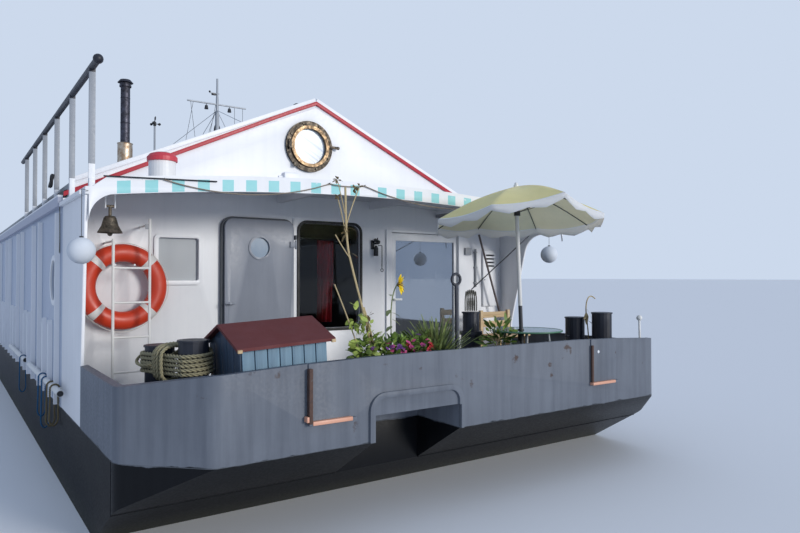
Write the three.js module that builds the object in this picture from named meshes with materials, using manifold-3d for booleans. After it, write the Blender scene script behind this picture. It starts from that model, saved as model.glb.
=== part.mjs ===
// Houseboat: a flat-bottomed steel harbour lighter with a gabled cabin on its deck.
// Millimetres, +Z up. The bow is at -Y, +X is the right-hand side seen from ahead of the bow.
// Origin: the middle of the flat bottom.

import * as THREE from "three";
import { mergeVertices } from "three/addons/utils/BufferGeometryUtils.js";
import Module from "manifold-3d";

const wasm = await Module();
wasm.setup();

// Hull
const hullLength = 16000;
const halfBeam = 2550;
const deckZ = 1184;
const rakeSlope = 0.62;
const chamfer = 450;
const bendRadius = 150;
const bow = -hullLength / 2;
const stern = hullLength / 2;
const bowFlat = halfBeam - chamfer;

// Bulwark
const bulwarkPlate = 10;
const bulwarkCap = 50;
const bulwarkTopMiddle = 1760;
const bulwarkTopBend = 1716;
const bulwarkTopSide = 1635;

// Cabin
const cabinFront = -5500;
const cabinAft = 6000;
const wallThick = 80;
const wallInner = halfBeam - wallThick;
const wallTop = 2890;
const gableY = -5225;
const gableEdge = 2430;
const ridgeZ = 4235;
const roofSlope = 0.448;
const roofThick = 66;

// Eave: the roof's surface ends in an upright step, and a lip runs outside it on top of the wall
const eaveStep = 2465;
const lip = { edge: 2590, step: 2996, high: 2988 };

// Porch roof
const porchFront = -6550;
const porchPlate = 30;
const porchBand = 130;
const wingThick = 26;

// Gap kept between pieces that touch
const gap = 0.3;

// Heights that follow the arches and slopes
const porchEdge = (x) => 3036 - 0.0000244 * x * x;
const porchArch = (x) => porchEdge(x) + porchBand;
const porchCeiling = (x) => porchArch(x) - porchPlate;
const roofTop = (x) => ridgeZ - roofSlope * Math.abs(x);
const roofUnder = (x) => roofTop(x) - roofThick;
const bulwarkTop = (x) => {
  const beyond = Math.abs(x) - bowFlat;
  if (beyond > 0) return bulwarkTopBend - (bulwarkTopBend - bulwarkTopSide) * beyond / chamfer;
  return bulwarkTopMiddle - (bulwarkTopMiddle - bulwarkTopBend) * Math.abs(x / bowFlat) ** 3;
};

// Closed solids

const asSolid = (geometry) => {
  const bare = geometry.clone();
  bare.deleteAttribute("normal");
  bare.deleteAttribute("uv");
  const merged = mergeVertices(bare, 1e-3);
  const corners = [];
  for (let i = 0; i < merged.index.count; i += 3) {
    const [a, b, c] = [0, 1, 2].map((k) => merged.index.getX(i + k));
    if (a !== b && b !== c && c !== a) corners.push(a, b, c);
  }
  return new wasm.Manifold(new wasm.Mesh({
    numProp: 3,
    vertProperties: new Float32Array(merged.attributes.position.array),
    triVerts: new Uint32Array(corners),
  }));
};

const asGeometry = (solid) => {
  const { vertProperties, triVerts } = solid.getMesh();
  const geometry = new THREE.BufferGeometry();
  geometry.setAttribute("position", new THREE.BufferAttribute(new Float32Array(vertProperties), 3));
  geometry.setIndex(new THREE.BufferAttribute(new Uint32Array(triVerts), 1));
  geometry.computeVertexNormals();
  return geometry;
};

const join = (...pieces) => asGeometry(pieces.map(asSolid).reduce((a, b) => a.add(b)));
const cut = (piece, ...tools) => asGeometry(tools.map(asSolid)
  .reduce((a, b) => a.subtract(b), asSolid(piece)));
const common = (a, b) => asGeometry(asSolid(a).intersect(asSolid(b)));

const mirrored = (geometry) => {
  const flipped = mergeVertices(geometry.clone().scale(-1, 1, 1), 1e-3);
  const index = Array.from(flipped.index.array);
  for (let i = 0; i < index.length; i += 3) [index[i], index[i + 1]] = [index[i + 1], index[i]];
  flipped.setIndex(index);
  return flipped;
};

// Outlines: corners are [across, up, radius], the radius left out where the corner is sharp

const outline = (corners) => {
  const shape = new THREE.Shape();
  corners.forEach(([across, up, radius = 0], i) => {
    const here = new THREE.Vector2(across, up);
    const before = corners.at(i - 1);
    const after = corners[(i + 1) % corners.length];
    const back = new THREE.Vector2(before[0], before[1]).sub(here).normalize();
    const on = new THREE.Vector2(after[0], after[1]).sub(here).normalize();
    const half = Math.acos(THREE.MathUtils.clamp(back.dot(on), -1, 1)) / 2;
    const reach = radius / Math.tan(half);
    const pull = radius * (4 / 3) * Math.tan((Math.PI - 2 * half) / 4);
    const start = here.clone().addScaledVector(back, reach);
    const end = here.clone().addScaledVector(on, reach);
    if (i === 0) shape.moveTo(start.x, start.y);
    else shape.lineTo(start.x, start.y);
    if (radius > 0) {
      const first = start.clone().addScaledVector(back, -pull);
      const second = end.clone().addScaledVector(on, -pull);
      shape.bezierCurveTo(first.x, first.y, second.x, second.y, end.x, end.y);
    }
  });
  shape.closePath();
  return shape;
};

const panel = (left, right, low, high, radius = 0) => outline([
  [left, low, radius], [right, low, radius], [right, high, radius], [left, high, radius],
]);

const ring = (outer, inner) => {
  outer.holes.push(inner);
  return outer;
};

const disc = (across, up, radius) => {
  const shape = new THREE.Shape();
  shape.absarc(across, up, radius, 0, 2 * Math.PI);
  return shape;
};

// Points of a curve across the boat, and the outline between two such curves
const along = (height, from, to, steps) => Array.from({ length: steps + 1 }, (_, i) => {
  const x = from + (to - from) * i / steps;
  return [x, height(x)];
});
const between = (low, high, from, to, steps) => outline([
  ...along(low, from, to, steps), ...along(high, from, to, steps).toReversed(),
]);

// The porch roof's section: arched, with its sides bent down to the wall tops
const porchShoulder = 2405;
const porchHip = 2380;
const porchSide = { bend: [2497, 2952], edge: 2945, inner: 2450, innerBend: 2925 };
const porchOver = (lift = 0) => [
  [-halfBeam, porchSide.edge + lift], [-porchSide.bend[0], porchSide.bend[1] + lift],
  ...along((x) => porchArch(x) + lift, -porchShoulder, porchShoulder, 22),
  [porchSide.bend[0], porchSide.bend[1] + lift], [halfBeam, porchSide.edge + lift],
];
const porchUnder = (aside = 0) => [
  [-porchSide.inner + aside, wallTop - aside], [-porchSide.inner + aside, porchSide.innerBend - aside],
  ...along((x) => porchCeiling(x) - 2 * aside, -porchHip, porchHip, 22),
  [porchSide.inner - aside, porchSide.innerBend - aside], [porchSide.inner - aside, wallTop - aside],
];

// Slabs: an outline made thick along one axis

const slab = (shape, depth, segments) => new THREE.ExtrudeGeometry(shape, {
  depth, bevelEnabled: false, curveSegments: segments,
});
const alongX = (shape, from, to, segments = 6) => slab(shape, to - from, segments)
  .applyMatrix4(new THREE.Matrix4().makeBasis(
    new THREE.Vector3(0, 1, 0), new THREE.Vector3(0, 0, 1), new THREE.Vector3(1, 0, 0)))
  .translate(from, 0, 0);
const alongY = (shape, from, to, segments = 6) => slab(shape, to - from, segments)
  .rotateX(Math.PI / 2)
  .translate(0, to, 0);
const alongZ = (shape, from, to, segments = 6) => slab(shape, to - from, segments)
  .translate(0, 0, from);

const box = (x0, x1, y0, y1, z0, z1) => new THREE.BoxGeometry(x1 - x0, y1 - y0, z1 - z0)
  .translate((x0 + x1) / 2, (y0 + y1) / 2, (z0 + z1) / 2);

const rod = (from, to, radius, sides = 12) => {
  const start = new THREE.Vector3(...from);
  const way = new THREE.Vector3(...to).sub(start);
  const turn = new THREE.Quaternion().setFromUnitVectors(
    new THREE.Vector3(0, 1, 0), way.clone().normalize());
  return new THREE.CylinderGeometry(radius, radius, way.length(), sides)
    .translate(0, way.length() / 2, 0)
    .applyQuaternion(turn)
    .translate(...from);
};

const ball = (x, y, z, radius, sides = 16) => new THREE.SphereGeometry(radius, sides, sides / 2)
  .translate(x, y, z);

// Turned solid: profile rows are [radius, height], from the axis back to the axis
const turned = (profile, x, y, sides = 24) => new THREE.LatheGeometry(
  profile.map(([radius, height]) => new THREE.Vector2(radius, height)), sides)
  .rotateX(Math.PI / 2)
  .translate(x, y, 0);

// Cut off what lies below the porch roof's or main roof's top, for pieces that stand on it
const belowAll = 2500;
const belowPorch = () => alongY(outline([
  [-halfBeam, belowAll], ...porchOver(gap), [halfBeam, belowAll],
]), -6700, gableY);
const belowRoof = () => alongY(outline([
  [-lip.edge - gap, belowAll], [lip.edge + gap, belowAll],
  [lip.edge + gap, lip.high + gap], [eaveStep + gap, lip.step + gap],
  [eaveStep + gap, roofTop(eaveStep) + gap], [0, ridgeZ + gap], [-eaveStep - gap, roofTop(eaveStep) + gap],
  [-eaveStep - gap, lip.step + gap], [-lip.edge - gap, lip.high + gap],
]), gableY, cabinAft + 100);

// Hull: flat bottom, raked ends, chamfered corners

const deckPlan = (inset) => {
  const side = halfBeam - inset;
  const end = stern - inset;
  const bend = inset * (Math.SQRT2 - 1);
  const radius = Math.max(bendRadius - inset, 1);
  const chamferY = stern - chamfer - bend;
  const chamferX = bowFlat - bend;
  return outline([
    [side, -chamferY, radius], [side, chamferY, radius],
    [chamferX, end, radius], [-chamferX, end, radius],
    [-side, chamferY, radius], [-side, -chamferY, radius],
    [-chamferX, -end, radius], [chamferX, -end, radius],
  ]);
};

// Anchor pocket in the bow, left of the middle
const pocket = { left: -1010, right: -260, back: -7470, top: 1360, plate: 40 };

// The hull is welded from sections that meet at the pocket's back. The pocket is open below, so the
// section ahead of that seam is a left and a right block, and the pocket's housing bridges them.
const sectionY = pocket.back;

const pocketHollow = () => box(pocket.left, pocket.right, bow - 100, pocket.back, -10, pocket.top);
const wholeHull = () => {
  const rakeRun = deckZ / rakeSlope;
  const side = outline([[bow, deckZ], [bow + rakeRun, 0], [stern - rakeRun, 0], [stern, deckZ]]);
  return common(alongX(side, -halfBeam - 50, halfBeam + 50), alongZ(deckPlan(0), -10, deckZ + 10));
};
const hullAbaft = () => common(wholeHull(),
  box(-3000, 3000, sectionY + gap / 2, stern + 100, -100, 2000));
const hullBow = (from, to) => common(wholeHull(), box(from, to, bow - 100, sectionY - gap / 2, -100, 2000));
const anchorHousing = () => cut(box(pocket.left - pocket.plate, pocket.right + pocket.plate,
  bow + bulwarkPlate + gap, pocket.back + pocket.plate, deckZ + gap, pocket.top + pocket.plate),
pocketHollow());

// Bulwark: one plate round each end, its top arched, with a cap and gussets inside

const bulwark = (towardBow, sideEnds, gussets, extras, holes) => {
  const far = towardBow ? bow - 100 : stern + 100;
  const [leftEnd, rightEnd] = sideEnds;
  const wall = alongZ(ring(deckPlan(0), deckPlan(bulwarkPlate)), deckZ + gap, 2000);
  const cap = alongZ(ring(deckPlan(1), deckPlan(bulwarkCap)), deckZ + gap, 2000);
  const reach = bowFlat * 1.25;
  const underTop = alongY(between(() => deckZ - 50, bulwarkTop, -reach, reach, 10), bow - 200, stern + 200);
  const capBand = alongY(between((x) => bulwarkTop(x) - 12, (x) => bulwarkTop(x) - 0.5, -reach, reach, 10),
    bow - 200, stern + 200);
  const keep = alongZ(outline([
    [-halfBeam - 60, leftEnd], [0, leftEnd], [0, rightEnd], [halfBeam + 60, rightEnd],
    [halfBeam + 60, far], [-halfBeam - 60, far],
  ]), deckZ - 60, 2100);
  const webs = gussets.map((x) => {
    const inner = towardBow ? bow + 5 : stern - 5;
    const inward = towardBow ? 1 : -1;
    return alongX(outline([
      [inner, deckZ + gap], [inner + inward * 240, deckZ + gap],
      [inner + inward * bulwarkCap, bulwarkTop(x) - 10], [inner, bulwarkTop(x) - 10],
    ]), x - 5, x + 5);
  });
  const plate = common(common(join(wall, ...extras), underTop), keep);
  const rim = common(common(cap, capBand), keep);
  return cut(join(plate, rim, ...webs), ...holes);
};

// Proud plates on the bow bulwark: left, right
const proudPlates = [[-1504, -1179], [1206, 1541]];

const bowBulwark = () => {
  const plates = proudPlates.map(([left, right]) => box(left, right, bow - 12, bow + 5, 1372, 2000));
  const ledges = proudPlates.map(([left, right]) => box(left - 6, right + 12, bow - 38, bow + 5, 1362, 1380));
  const arch = ring(panel(-1050, -236, 900, 1512, 120), panel(-1010, -276, 950, 1474, 84));
  const bead = cut(alongY(arch, bow - 20, bow + 5), box(-1300, 0, bow - 50, bow + 50, 700, deckZ + gap));
  const mouth = box(pocket.left, pocket.right, bow - 100, bow + 100, deckZ - 100, pocket.top);
  const gussets = [-2030, -1160, 250, 1000, 1760];
  return bulwark(true, [-6410, -5700], gussets, [...plates, ...ledges, bead], [mouth]);
};

const sternBulwark = () => bulwark(false, [cabinAft + 60, cabinAft + 60], [-1700, -600, 600, 1700], [], []);

// Cabin side walls: tall ribs in pairs, short pointed ribs between them, a porthole and a window

const ribs = {
  firstPair: -155, pitch: 1730, halfPair: 265, pairs: 7, proud: 45, thick: 30, low: 1200, high: 2840,
};
const shortRibs = { offsets: [430, 820], top: 1900, thick: 24 };
const porthole = { y: -5100, z: 2260, hole: 180, rim: 225, proud: 20 };

// A steel shutter over a window further aft
const shutter = { from: 1660, to: 2640, low: 2040, high: 2660, radius: 60 };

const sideWallRight = () => {
  const body = box(wallInner, halfBeam, cabinFront, cabinAft, deckZ + gap, wallTop - gap);
  const added = [];
  const tallRib = (y) => box(halfBeam - 5, halfBeam + ribs.proud,
    y - ribs.thick / 2, y + ribs.thick / 2, ribs.low, ribs.high);
  const shortRib = (y) => alongX(outline([
    [y - shortRibs.thick, ribs.low], [y + shortRibs.thick, ribs.low],
    [y + shortRibs.thick, shortRibs.top - 60], [y, shortRibs.top], [y - shortRibs.thick, shortRibs.top - 60],
  ]), halfBeam - 5, halfBeam + ribs.proud);
  for (let i = 0; i < ribs.pairs; i += 1) {
    const middle = cabinFront + ribs.firstPair + ribs.pitch * i;
    const first = middle - ribs.halfPair;
    const second = middle + ribs.halfPair;
    if (first > cabinFront) added.push(tallRib(first));
    if (second > cabinFront) added.push(tallRib(second));
    for (const offset of shortRibs.offsets) added.push(shortRib(second + offset));
  }
  const proud = halfBeam + porthole.proud;
  const rim = alongX(disc(porthole.y, porthole.z, porthole.rim), halfBeam - 5, proud, 16);
  const { from, to, low, high, radius } = shutter;
  const cover = alongX(panel(from, to, low, high, radius), halfBeam - 5, proud);
  const hole = alongX(disc(porthole.y, porthole.z, porthole.hole), 2000, 3000, 16);
  return cut(join(body, rim, cover, ...added), hole);
};

const portholePaneRight = () => alongX(disc(porthole.y, porthole.z, porthole.hole - gap), 2515, 2525, 16);

// Where the lifebuoy hangs on its two pegs
const lifebuoyAt = { x: -2092, y: -5622, z: 2205 };

// Front wall openings: left, right, low, high, corner radius
const smallWindow = [-1762, -1391, 2257, 2655, 20];
const steelDoorway = [-1138, -460, 1363, 2837, 62];
const pictureWindow = [-330, 404, 1746, 2855, 82];
const glassDoorway = [820, 1815, 1230, 2802, 4];
const lockerDoorway = [2232, 2428, 1942, 2608, 4];

const grown = ([left, right, low, high, radius], by) => panel(
  left - by, right + by, low - by, high + by, radius + by);
const framed = (opening, by, front, back) => alongY(ring(grown(opening, by), grown(opening, 0)), front, back);

const frontWall = () => {
  const edge = wallInner - gap;
  const sheet = alongY(outline([
    [-edge, deckZ + gap], [-edge, wallTop - gap], ...porchUnder(gap),
    [edge, wallTop - gap], [edge, deckZ + gap],
  ]), cabinFront, cabinFront + wallThick);
  const smallFrame = alongY(grown(smallWindow, 40), cabinFront - 20, cabinFront + 5);
  const doorFrame = alongY(panel(748, 1835, 1200, 2832, 4), cabinFront - 25, cabinFront + 5);
  const post = box(-410, -370, cabinFront - 15, cabinFront + 5, 1300, 2900);
  const pegs = [-80, 80].map((aside) => lifebuoyAt.x + aside)
    .map((x) => rod([x, cabinFront + 10, 2395], [x, -5705, 2395], 9, 8));
  const openings = [smallWindow, steelDoorway, pictureWindow, glassDoorway, lockerDoorway]
    .map((opening) => alongY(grown(opening, 0), cabinFront - 200, cabinFront + 300));
  return cut(join(sheet, smallFrame, doorFrame, post, ...pegs), ...openings);
};

const pane = (opening, front, back) => alongY(grown(opening, -gap), front, back);

// Steel door: outward opening on right-hand hinges, with a round light
const doorHinge = { x: -420, y: -5600, radius: 11, heights: [1640, 2620] };
const doorBarrel = (low, high) => rod(
  [doorHinge.x, doorHinge.y, low], [doorHinge.x, doorHinge.y, high], doorHinge.radius);
const doorLight = { x: -805, z: 2580, radius: 100 };

const steelDoor = () => {
  const leaf = alongY(grown(steelDoorway, 22), -5590, -5556);
  const bezel = alongY(disc(doorLight.x, doorLight.z, doorLight.radius + 22), -5598, -5588, 12);
  const straps = doorHinge.heights.map((z) => box(-482, doorHinge.x, -5606, -5588, z - 30, z + 30));
  const barrels = doorHinge.heights.map((z) => doorBarrel(z - 45, z + 45));
  const lever = join(rod([-1120, -5580, 2035], [-1120, -5640, 2035], 12, 10),
    rod([-1168, -5630, 2035], [-1072, -5630, 2035], 9, 10));
  const light = alongY(disc(doorLight.x, doorLight.z, doorLight.radius), -5700, -5500, 12);
  return cut(join(leaf, bezel, ...straps, ...barrels, lever), light);
};

const doorCoaming = () => {
  const frame = framed(steelDoorway, 43, -5550, cabinFront - gap);
  const lugs = doorHinge.heights.map((z) => join(
    box(-431, -409, -5600, -5545, z + 51, z + 96), doorBarrel(z + 51, z + 96)));
  return join(frame, ...lugs);
};

const steelDoorGlass = () => alongY(disc(doorLight.x, doorLight.z, doorLight.radius - gap), -5577, -5569, 12);

// Glass door: opens inward, hinged on the right
const glassLeaf = [832, 1809, 1236, 2796, 4];
const glassLight = [896, 1764, 1350, 2710, 4];

const glassDoor = () => {
  const leaf = alongY(grown(glassLeaf, 0), -5490, -5440);
  const light = alongY(grown(glassLight, 0), -5600, -5400);
  const handle = join(box(850, 876, -5520, -5485, 2020, 2046), box(850, 960, -5532, -5516, 2022, 2044));
  return join(cut(leaf, light), handle);
};

const glassDoorGlass = () => pane(glassLight, -5470, -5460);

// Locker door on the front wall's right end, hinged on its right
const lockerDoor = () => {
  const leaf = alongY(panel(2212, 2448, 1922, 2628, 6), -5530, -5506);
  const vents = [0, 1, 2, 3].map((i) => box(2260, 2400, -5545, -5490, 2420 + i * 45, 2440 + i * 45));
  const knob = rod([2236, -5525, 2260], [2236, -5550, 2260], 10, 10);
  return cut(join(leaf, knob), ...vents);
};

// Aft wall, with its gable, and the aft door

const gableTop = gableEdge - gap;
const gablePoints = [-1, 0, 1].map((side) => [-side * gableTop, roofUnder(side * gableTop) - gap]);
const aftDoorway = [-380, 380, 1330, 3060, 30];

const aftWall = () => {
  const edge = wallInner - gap;
  const sheet = alongY(outline([
    [-edge, deckZ + gap], [edge, deckZ + gap], [edge, wallTop - gap], [gableTop, wallTop - gap],
    ...gablePoints, [-gableTop, wallTop - gap], [-edge, wallTop - gap],
  ]), cabinAft - wallThick, cabinAft);
  const coaming = alongY(grown(aftDoorway, 60), cabinAft - 5, cabinAft + 40);
  const boards = alongY(between((x) => roofTop(x) - 216, (x) => roofUnder(x) - gap, -2380, 2380, 2),
    cabinAft - 5, cabinAft + 25);
  return cut(join(sheet, coaming, boards), alongY(grown(aftDoorway, 0), cabinAft - 300, cabinAft + 300));
};

const aftDoor = () => {
  const leaf = alongY(grown(aftDoorway, 25), cabinAft + 46, cabinAft + 84);
  const lever = join(rod([-340, cabinAft + 60, 2150], [-340, cabinAft + 130, 2150], 11, 10),
    rod([-350, cabinAft + 120, 2150], [-240, cabinAft + 120, 2150], 9, 10));
  return join(leaf, lever);
};

// Front gable, with its round window of bronze

const gableLight = { x: -88, z: 3722, flange: 280, frame: 228, hole: 193 };
const gableSill = 2935;

const frontGable = () => {
  const { x, z, hole } = gableLight;
  const sheet = outline([[-gableTop, gableSill], [gableTop, gableSill], ...gablePoints]);
  return cut(alongY(sheet, gableY, gableY + wallThick),
    alongY(disc(x, z, hole + 20), gableY - 50, gableY + 200, 20));
};

const gablePorthole = () => {
  const { x, z, flange, frame, hole } = gableLight;
  const plate = alongY(disc(x, z, flange), gableY - 34, gableY - gap, 20);
  const proud = alongY(disc(x, z, frame), gableY - 58, gableY - 30, 20);
  const sleeve = alongY(disc(x, z, hole + 20 - gap), gableY - 20, gableY + 60, 20);
  const hinge = box(x - 262, x - 205, gableY - 62, gableY - 30, z - 40, z + 40);
  const dog = box(x + 210, x + 345, gableY - 62, gableY - 36, z + 2, z + 28);
  const clear = alongY(disc(x, z, hole), gableY - 100, gableY + 100, 20);
  return cut(join(plate, proud, sleeve, hinge, dog), clear);
};

const gableGlass = () => alongY(disc(gableLight.x, gableLight.z, gableLight.hole - gap),
  gableY - 16, gableY - 4, 20);

// Roof panels: each ends in a block on top of its wall, with a lip that runs on to the cabin's front
const roofRight = () => join(
  alongY(outline([
    [gap / 2, roofTop(0)], [eaveStep, roofTop(eaveStep)], [eaveStep, lip.step],
    [lip.edge, lip.high], [lip.edge, wallTop], [gableEdge, wallTop],
    [gableEdge, roofUnder(gableEdge)], [gap / 2, roofUnder(0)],
  ]), gableY, cabinAft + 60),
  box(halfBeam + gap, lip.edge, cabinFront, gableY + 10, wallTop, lip.high));

// Red boards along the front verge: the left one drops away from the roof's edge towards its end
const verge = { end: 2510, bend: -300, drop: 62, deep: 42, thick: 24 };
const frontFascia = () => {
  const { end, bend, drop, deep, thick } = verge;
  const board = outline([
    [-end, roofTop(end) - drop - deep], [bend, roofTop(bend) - deep], [0, ridgeZ - deep],
    [end, roofTop(end) - deep], [end, roofTop(end)],
    [0, ridgeZ], [bend, roofTop(bend)], [-end, roofTop(end) - drop],
  ]);
  return alongY(board, gableY - thick, gableY - gap);
};

// Porch roof: an arched plate with a deep front band, rounded haunches at its ends, and beams
const haunch = 200;
const porchBeams = [-560, 560, 1500];
const drip = { edge: 2580, high: 2920, from: -6500, to: -5510 };

const porch = () => {
  const plate = alongY(outline([
    ...porchOver(), [halfBeam, wallTop], ...porchUnder().toReversed(), [-halfBeam, wallTop],
  ]), porchFront, gableY - gap);
  const bandUnder = along(porchEdge, -porchSide.inner, porchSide.inner, 22).toReversed();
  const band = alongY(outline([
    ...porchOver(-1), [halfBeam, wallTop], ...bandUnder, [-halfBeam, wallTop],
  ]), porchFront, porchFront + 20);
  const beams = porchBeams.map((x) => box(x - 25, x + 25, porchFront + 5, cabinFront - gap,
    porchEdge(x) + 20, porchCeiling(x) + 10));
  const corner = halfBeam - wingThick;
  const low = porchEdge(corner - haunch) - haunch;
  const cornerArc = (side) => {
    const shape = new THREE.Shape();
    shape.moveTo(side * (corner + 2), low);
    shape.absarc(side * (corner - haunch), low, haunch, side > 0 ? 0 : Math.PI, Math.PI / 2, side < 0);
    shape.lineTo(side * (corner - haunch), wallTop + 60);
    shape.lineTo(side * (corner + 2), wallTop + 40);
    shape.closePath();
    return shape;
  };
  const arcs = [-1, 1].map((side) => alongY(cornerArc(side), porchFront, porchFront + 20, 10));
  const drips = [-1, 1].map((side) => box(Math.min(side * drip.edge, side * (halfBeam - 5)),
    Math.max(side * drip.edge, side * (halfBeam - 5)), drip.from, drip.to, wallTop, drip.high));
  return join(plate, band, ...beams, ...arcs, ...drips);
};

// Wings: the cabin sides carried forward under the porch roof, corners as [y, z, radius]

const wingTop = wallTop - gap;
const wings = {
  left: [[cabinFront - gap, deckZ + gap], [cabinFront - gap, wingTop], [porchFront + 20 + gap, wingTop],
    [-6409, 1640], [-6409, deckZ + gap]],
  right: [[cabinFront - gap, deckZ + gap], [cabinFront - gap, wingTop], [porchFront + 20 + gap, wingTop],
    [porchFront + 20 + gap, wingTop - 60], [-5990, wingTop - 110, 260],
    [-5694, 1700, 400], [-5694, deckZ + gap]],
};
const wing = (side, corners) => {
  const inner = side * (halfBeam - wingThick + gap);
  const outer = side * halfBeam;
  return alongX(outline(corners), Math.min(inner, outer), Math.max(inner, outer));
};

// Fittings on the porch roof and main roof

const railX = -2500;
const railTop = 3830;
const roofRail = () => {
  const posts = [0, 1, 2, 3, 4, 5].map((i) => {
    const y = -6500 + 880 * i;
    const foot = i === 0 ? 3010 : 3118;
    return join(box(railX - 22, railX + 22, y - 8, y + 8, 2900, railTop),
      box(railX - 20, railX + 20, y - 20, y + 20, 2900, foot));
  });
  const pipe = rod([railX, -6710, railTop], [railX, -1600, railTop], 25);
  const knob = ball(railX, -6715, railTop, 36);
  return cut(join(pipe, knob, ...posts), belowPorch(), belowRoof());
};

const ventHead = () => cut(turned([
  [0, 3000], [108, 3000], [108, 3252], [122, 3252], [122, 3286], [100, 3312], [60, 3326], [0, 3331],
], -1890, -6100, 28), belowPorch());

const stovePipe = () => cut(turned([
  [0, 3400], [150, 3400], [150, 3640], [100, 3660], [100, 4170], [63, 4190], [63, 4960], [80, 4960],
  [80, 4985], [63, 4990], [63, 5020], [105, 5024], [105, 5050], [0, 5060],
], -1290, -1970, 24), belowRoof());

const windX = -1270;
const windY = -3450;
const windMast = () => cut(turned([
  [0, 3400], [40, 3400], [40, 3730], [12, 3740], [12, 4130], [0, 4130],
], windX, windY, 12), belowRoof());
const windCups = () => {
  const hub = turned([[0, 4136], [18, 4136], [18, 4180], [8, 4190], [0, 4190]], windX, windY, 12);
  const [armLength, armZ] = [56, 4160];
  const arms = [0, 1, 2].flatMap((i) => {
    const angle = 2 * Math.PI * i / 3;
    const tip = [windX + armLength * Math.cos(angle), windY + armLength * Math.sin(angle), armZ];
    return [rod([windX, windY, armZ], tip, 5, 8), ball(...tip, 17, 10)];
  });
  return join(hub, ...arms);
};

const mastX = 0;
const mastY = -2050;
const signalMast = () => {
  const pole = turned([
    [0, 4000], [90, 4000], [90, 4290], [34, 4305], [30, 4760], [18, 4790], [14, 5280], [0, 5280],
  ], mastX, mastY, 14);
  const [yardHalf, yardZ] = [450, 4890];
  const yard = rod([mastX - yardHalf, mastY, yardZ], [mastX + yardHalf, mastY, yardZ], 12, 10);
  const stays = [[-1100, 1100], [1100, 1100], [0, 1500], [0, -1500]].map(([x, y]) => rod(
    [mastX + x, mastY + y, roofTop(x) + 6], [mastX, mastY, 4800], 4, 6));
  return cut(join(pole, yard, ...stays), belowRoof());
};

// Mooring bollards on their base plates: each place is x, y, top and the side its pin sticks out to
const postRadius = 97;
const postLip = postRadius + 8;
const post = ([x, y, top]) => turned([
  [0, deckZ + 10], [postRadius, deckZ + 10], [postRadius, top - 14],
  [postLip, top - 13], [postLip, top], [0, top],
], x, y, 18);
const padRadius = 142;
const pad = ([x, y]) => alongZ(disc(x, y, padRadius), deckZ + gap, deckZ + 22, 9);
const pin = ([x, y, top, side]) => rod(
  [x, y, top - 190], [x + side * (postRadius + 36), y, top - 190], 13, 8);
const bollardPair = (places) => {
  const [first, last] = places.map(([x, y]) => new THREE.Vector2(x, y));
  const aside = last.clone().sub(first).setLength(padRadius)
    .rotateAround(new THREE.Vector2(), Math.PI / 2);
  const corners = [
    first.clone().add(aside), first.clone().sub(aside), last.clone().sub(aside), last.clone().add(aside),
  ];
  const bridge = alongZ(outline(corners.map(({ x, y }) => [x, y])), deckZ + gap, deckZ + 22);
  const pins = places.filter(([, , , side]) => side !== 0).map(pin);
  return join(...places.map(post), ...places.map(pad), ...pins, bridge);
};

// The single bollard is stepped: a narrower head stands on a flange
const headRadius = 81;
const singleBollard = () => {
  const [x, y, top] = bowMiddle;
  const flange = postRadius + 17;
  const headLip = headRadius + 10;
  const stem = turned([
    [0, deckZ + 10], [postRadius, deckZ + 10], [postRadius, top - 222], [flange, top - 220],
    [flange, top - 187], [headRadius, top - 185], [headRadius, top - 14],
    [headLip, top - 13], [headLip, top], [0, top],
  ], x, y, 18);
  return join(stem, pad([x, y]));
};
const bowLeft = [[-2166, -7092, 1829, 0], [-2040, -7425, 1881, 0]];
const bowRight = [[2066, -7450, 1934, 1], [1958, -7200, 1880, -1]];
const bowMiddle = [850, -6850, 1950];

// Mooring rope: its turns round the left pair, as one band, and the hank on the middle bollard
const ropeBand = { low: 1637, high: 1810, inner: 99.5, thick: 28.5 };
const mooringRope = () => {
  const [a, b] = bowLeft.map(([x, y]) => new THREE.Vector2(x, y));
  const way = b.clone().sub(a);
  const start = Math.atan2(way.y, way.x) + Math.PI / 2;
  const loop = (radius) => {
    const points = [];
    for (const [centre, first] of [[a, start], [b, start + Math.PI]]) {
      for (let i = 0; i <= 10; i += 1) {
        const angle = first + Math.PI * i / 10;
        points.push([centre.x + radius * Math.cos(angle), centre.y + radius * Math.sin(angle)]);
      }
    }
    return outline(points);
  };
  const { low, high, inner, thick } = ropeBand;
  return alongZ(ring(loop(inner + thick), loop(inner)), low, high);
};
const ropeHank = () => {
  const [x, y, top] = bowMiddle;
  return turned([
    [0, top + gap], [74, top + gap], [72, top + 60], [66, top + 120],
    [50, top + 175], [26, top + 208], [0, top + 214],
  ], x, y, 16);
};

// Deck fittings under the porch

const lifebuoy = () => new THREE.TorusGeometry(296, 79, 10, 32)
  .rotateX(Math.PI / 2)
  .translate(lifebuoyAt.x, lifebuoyAt.y, lifebuoyAt.z);

const ladder = () => {
  const [left, right] = [-2217, -1923];
  const y = -5850;
  const rails = [[left, 2610], [right, 2790]]
    .map(([x, top]) => rod([x, y, deckZ + gap], [x, y, top], 12, 10));
  const rungs = [1490, 1782, 2074, 2366].map((z) => rod([left, y, z], [right, y, z], 10, 10));
  const ties = [[left, 2590], [right, 2740]].map(([x, z]) => rod([x, y, z], [x, cabinFront - gap, z], 9, 8));
  return join(...rails, ...rungs, ...ties);
};

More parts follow.
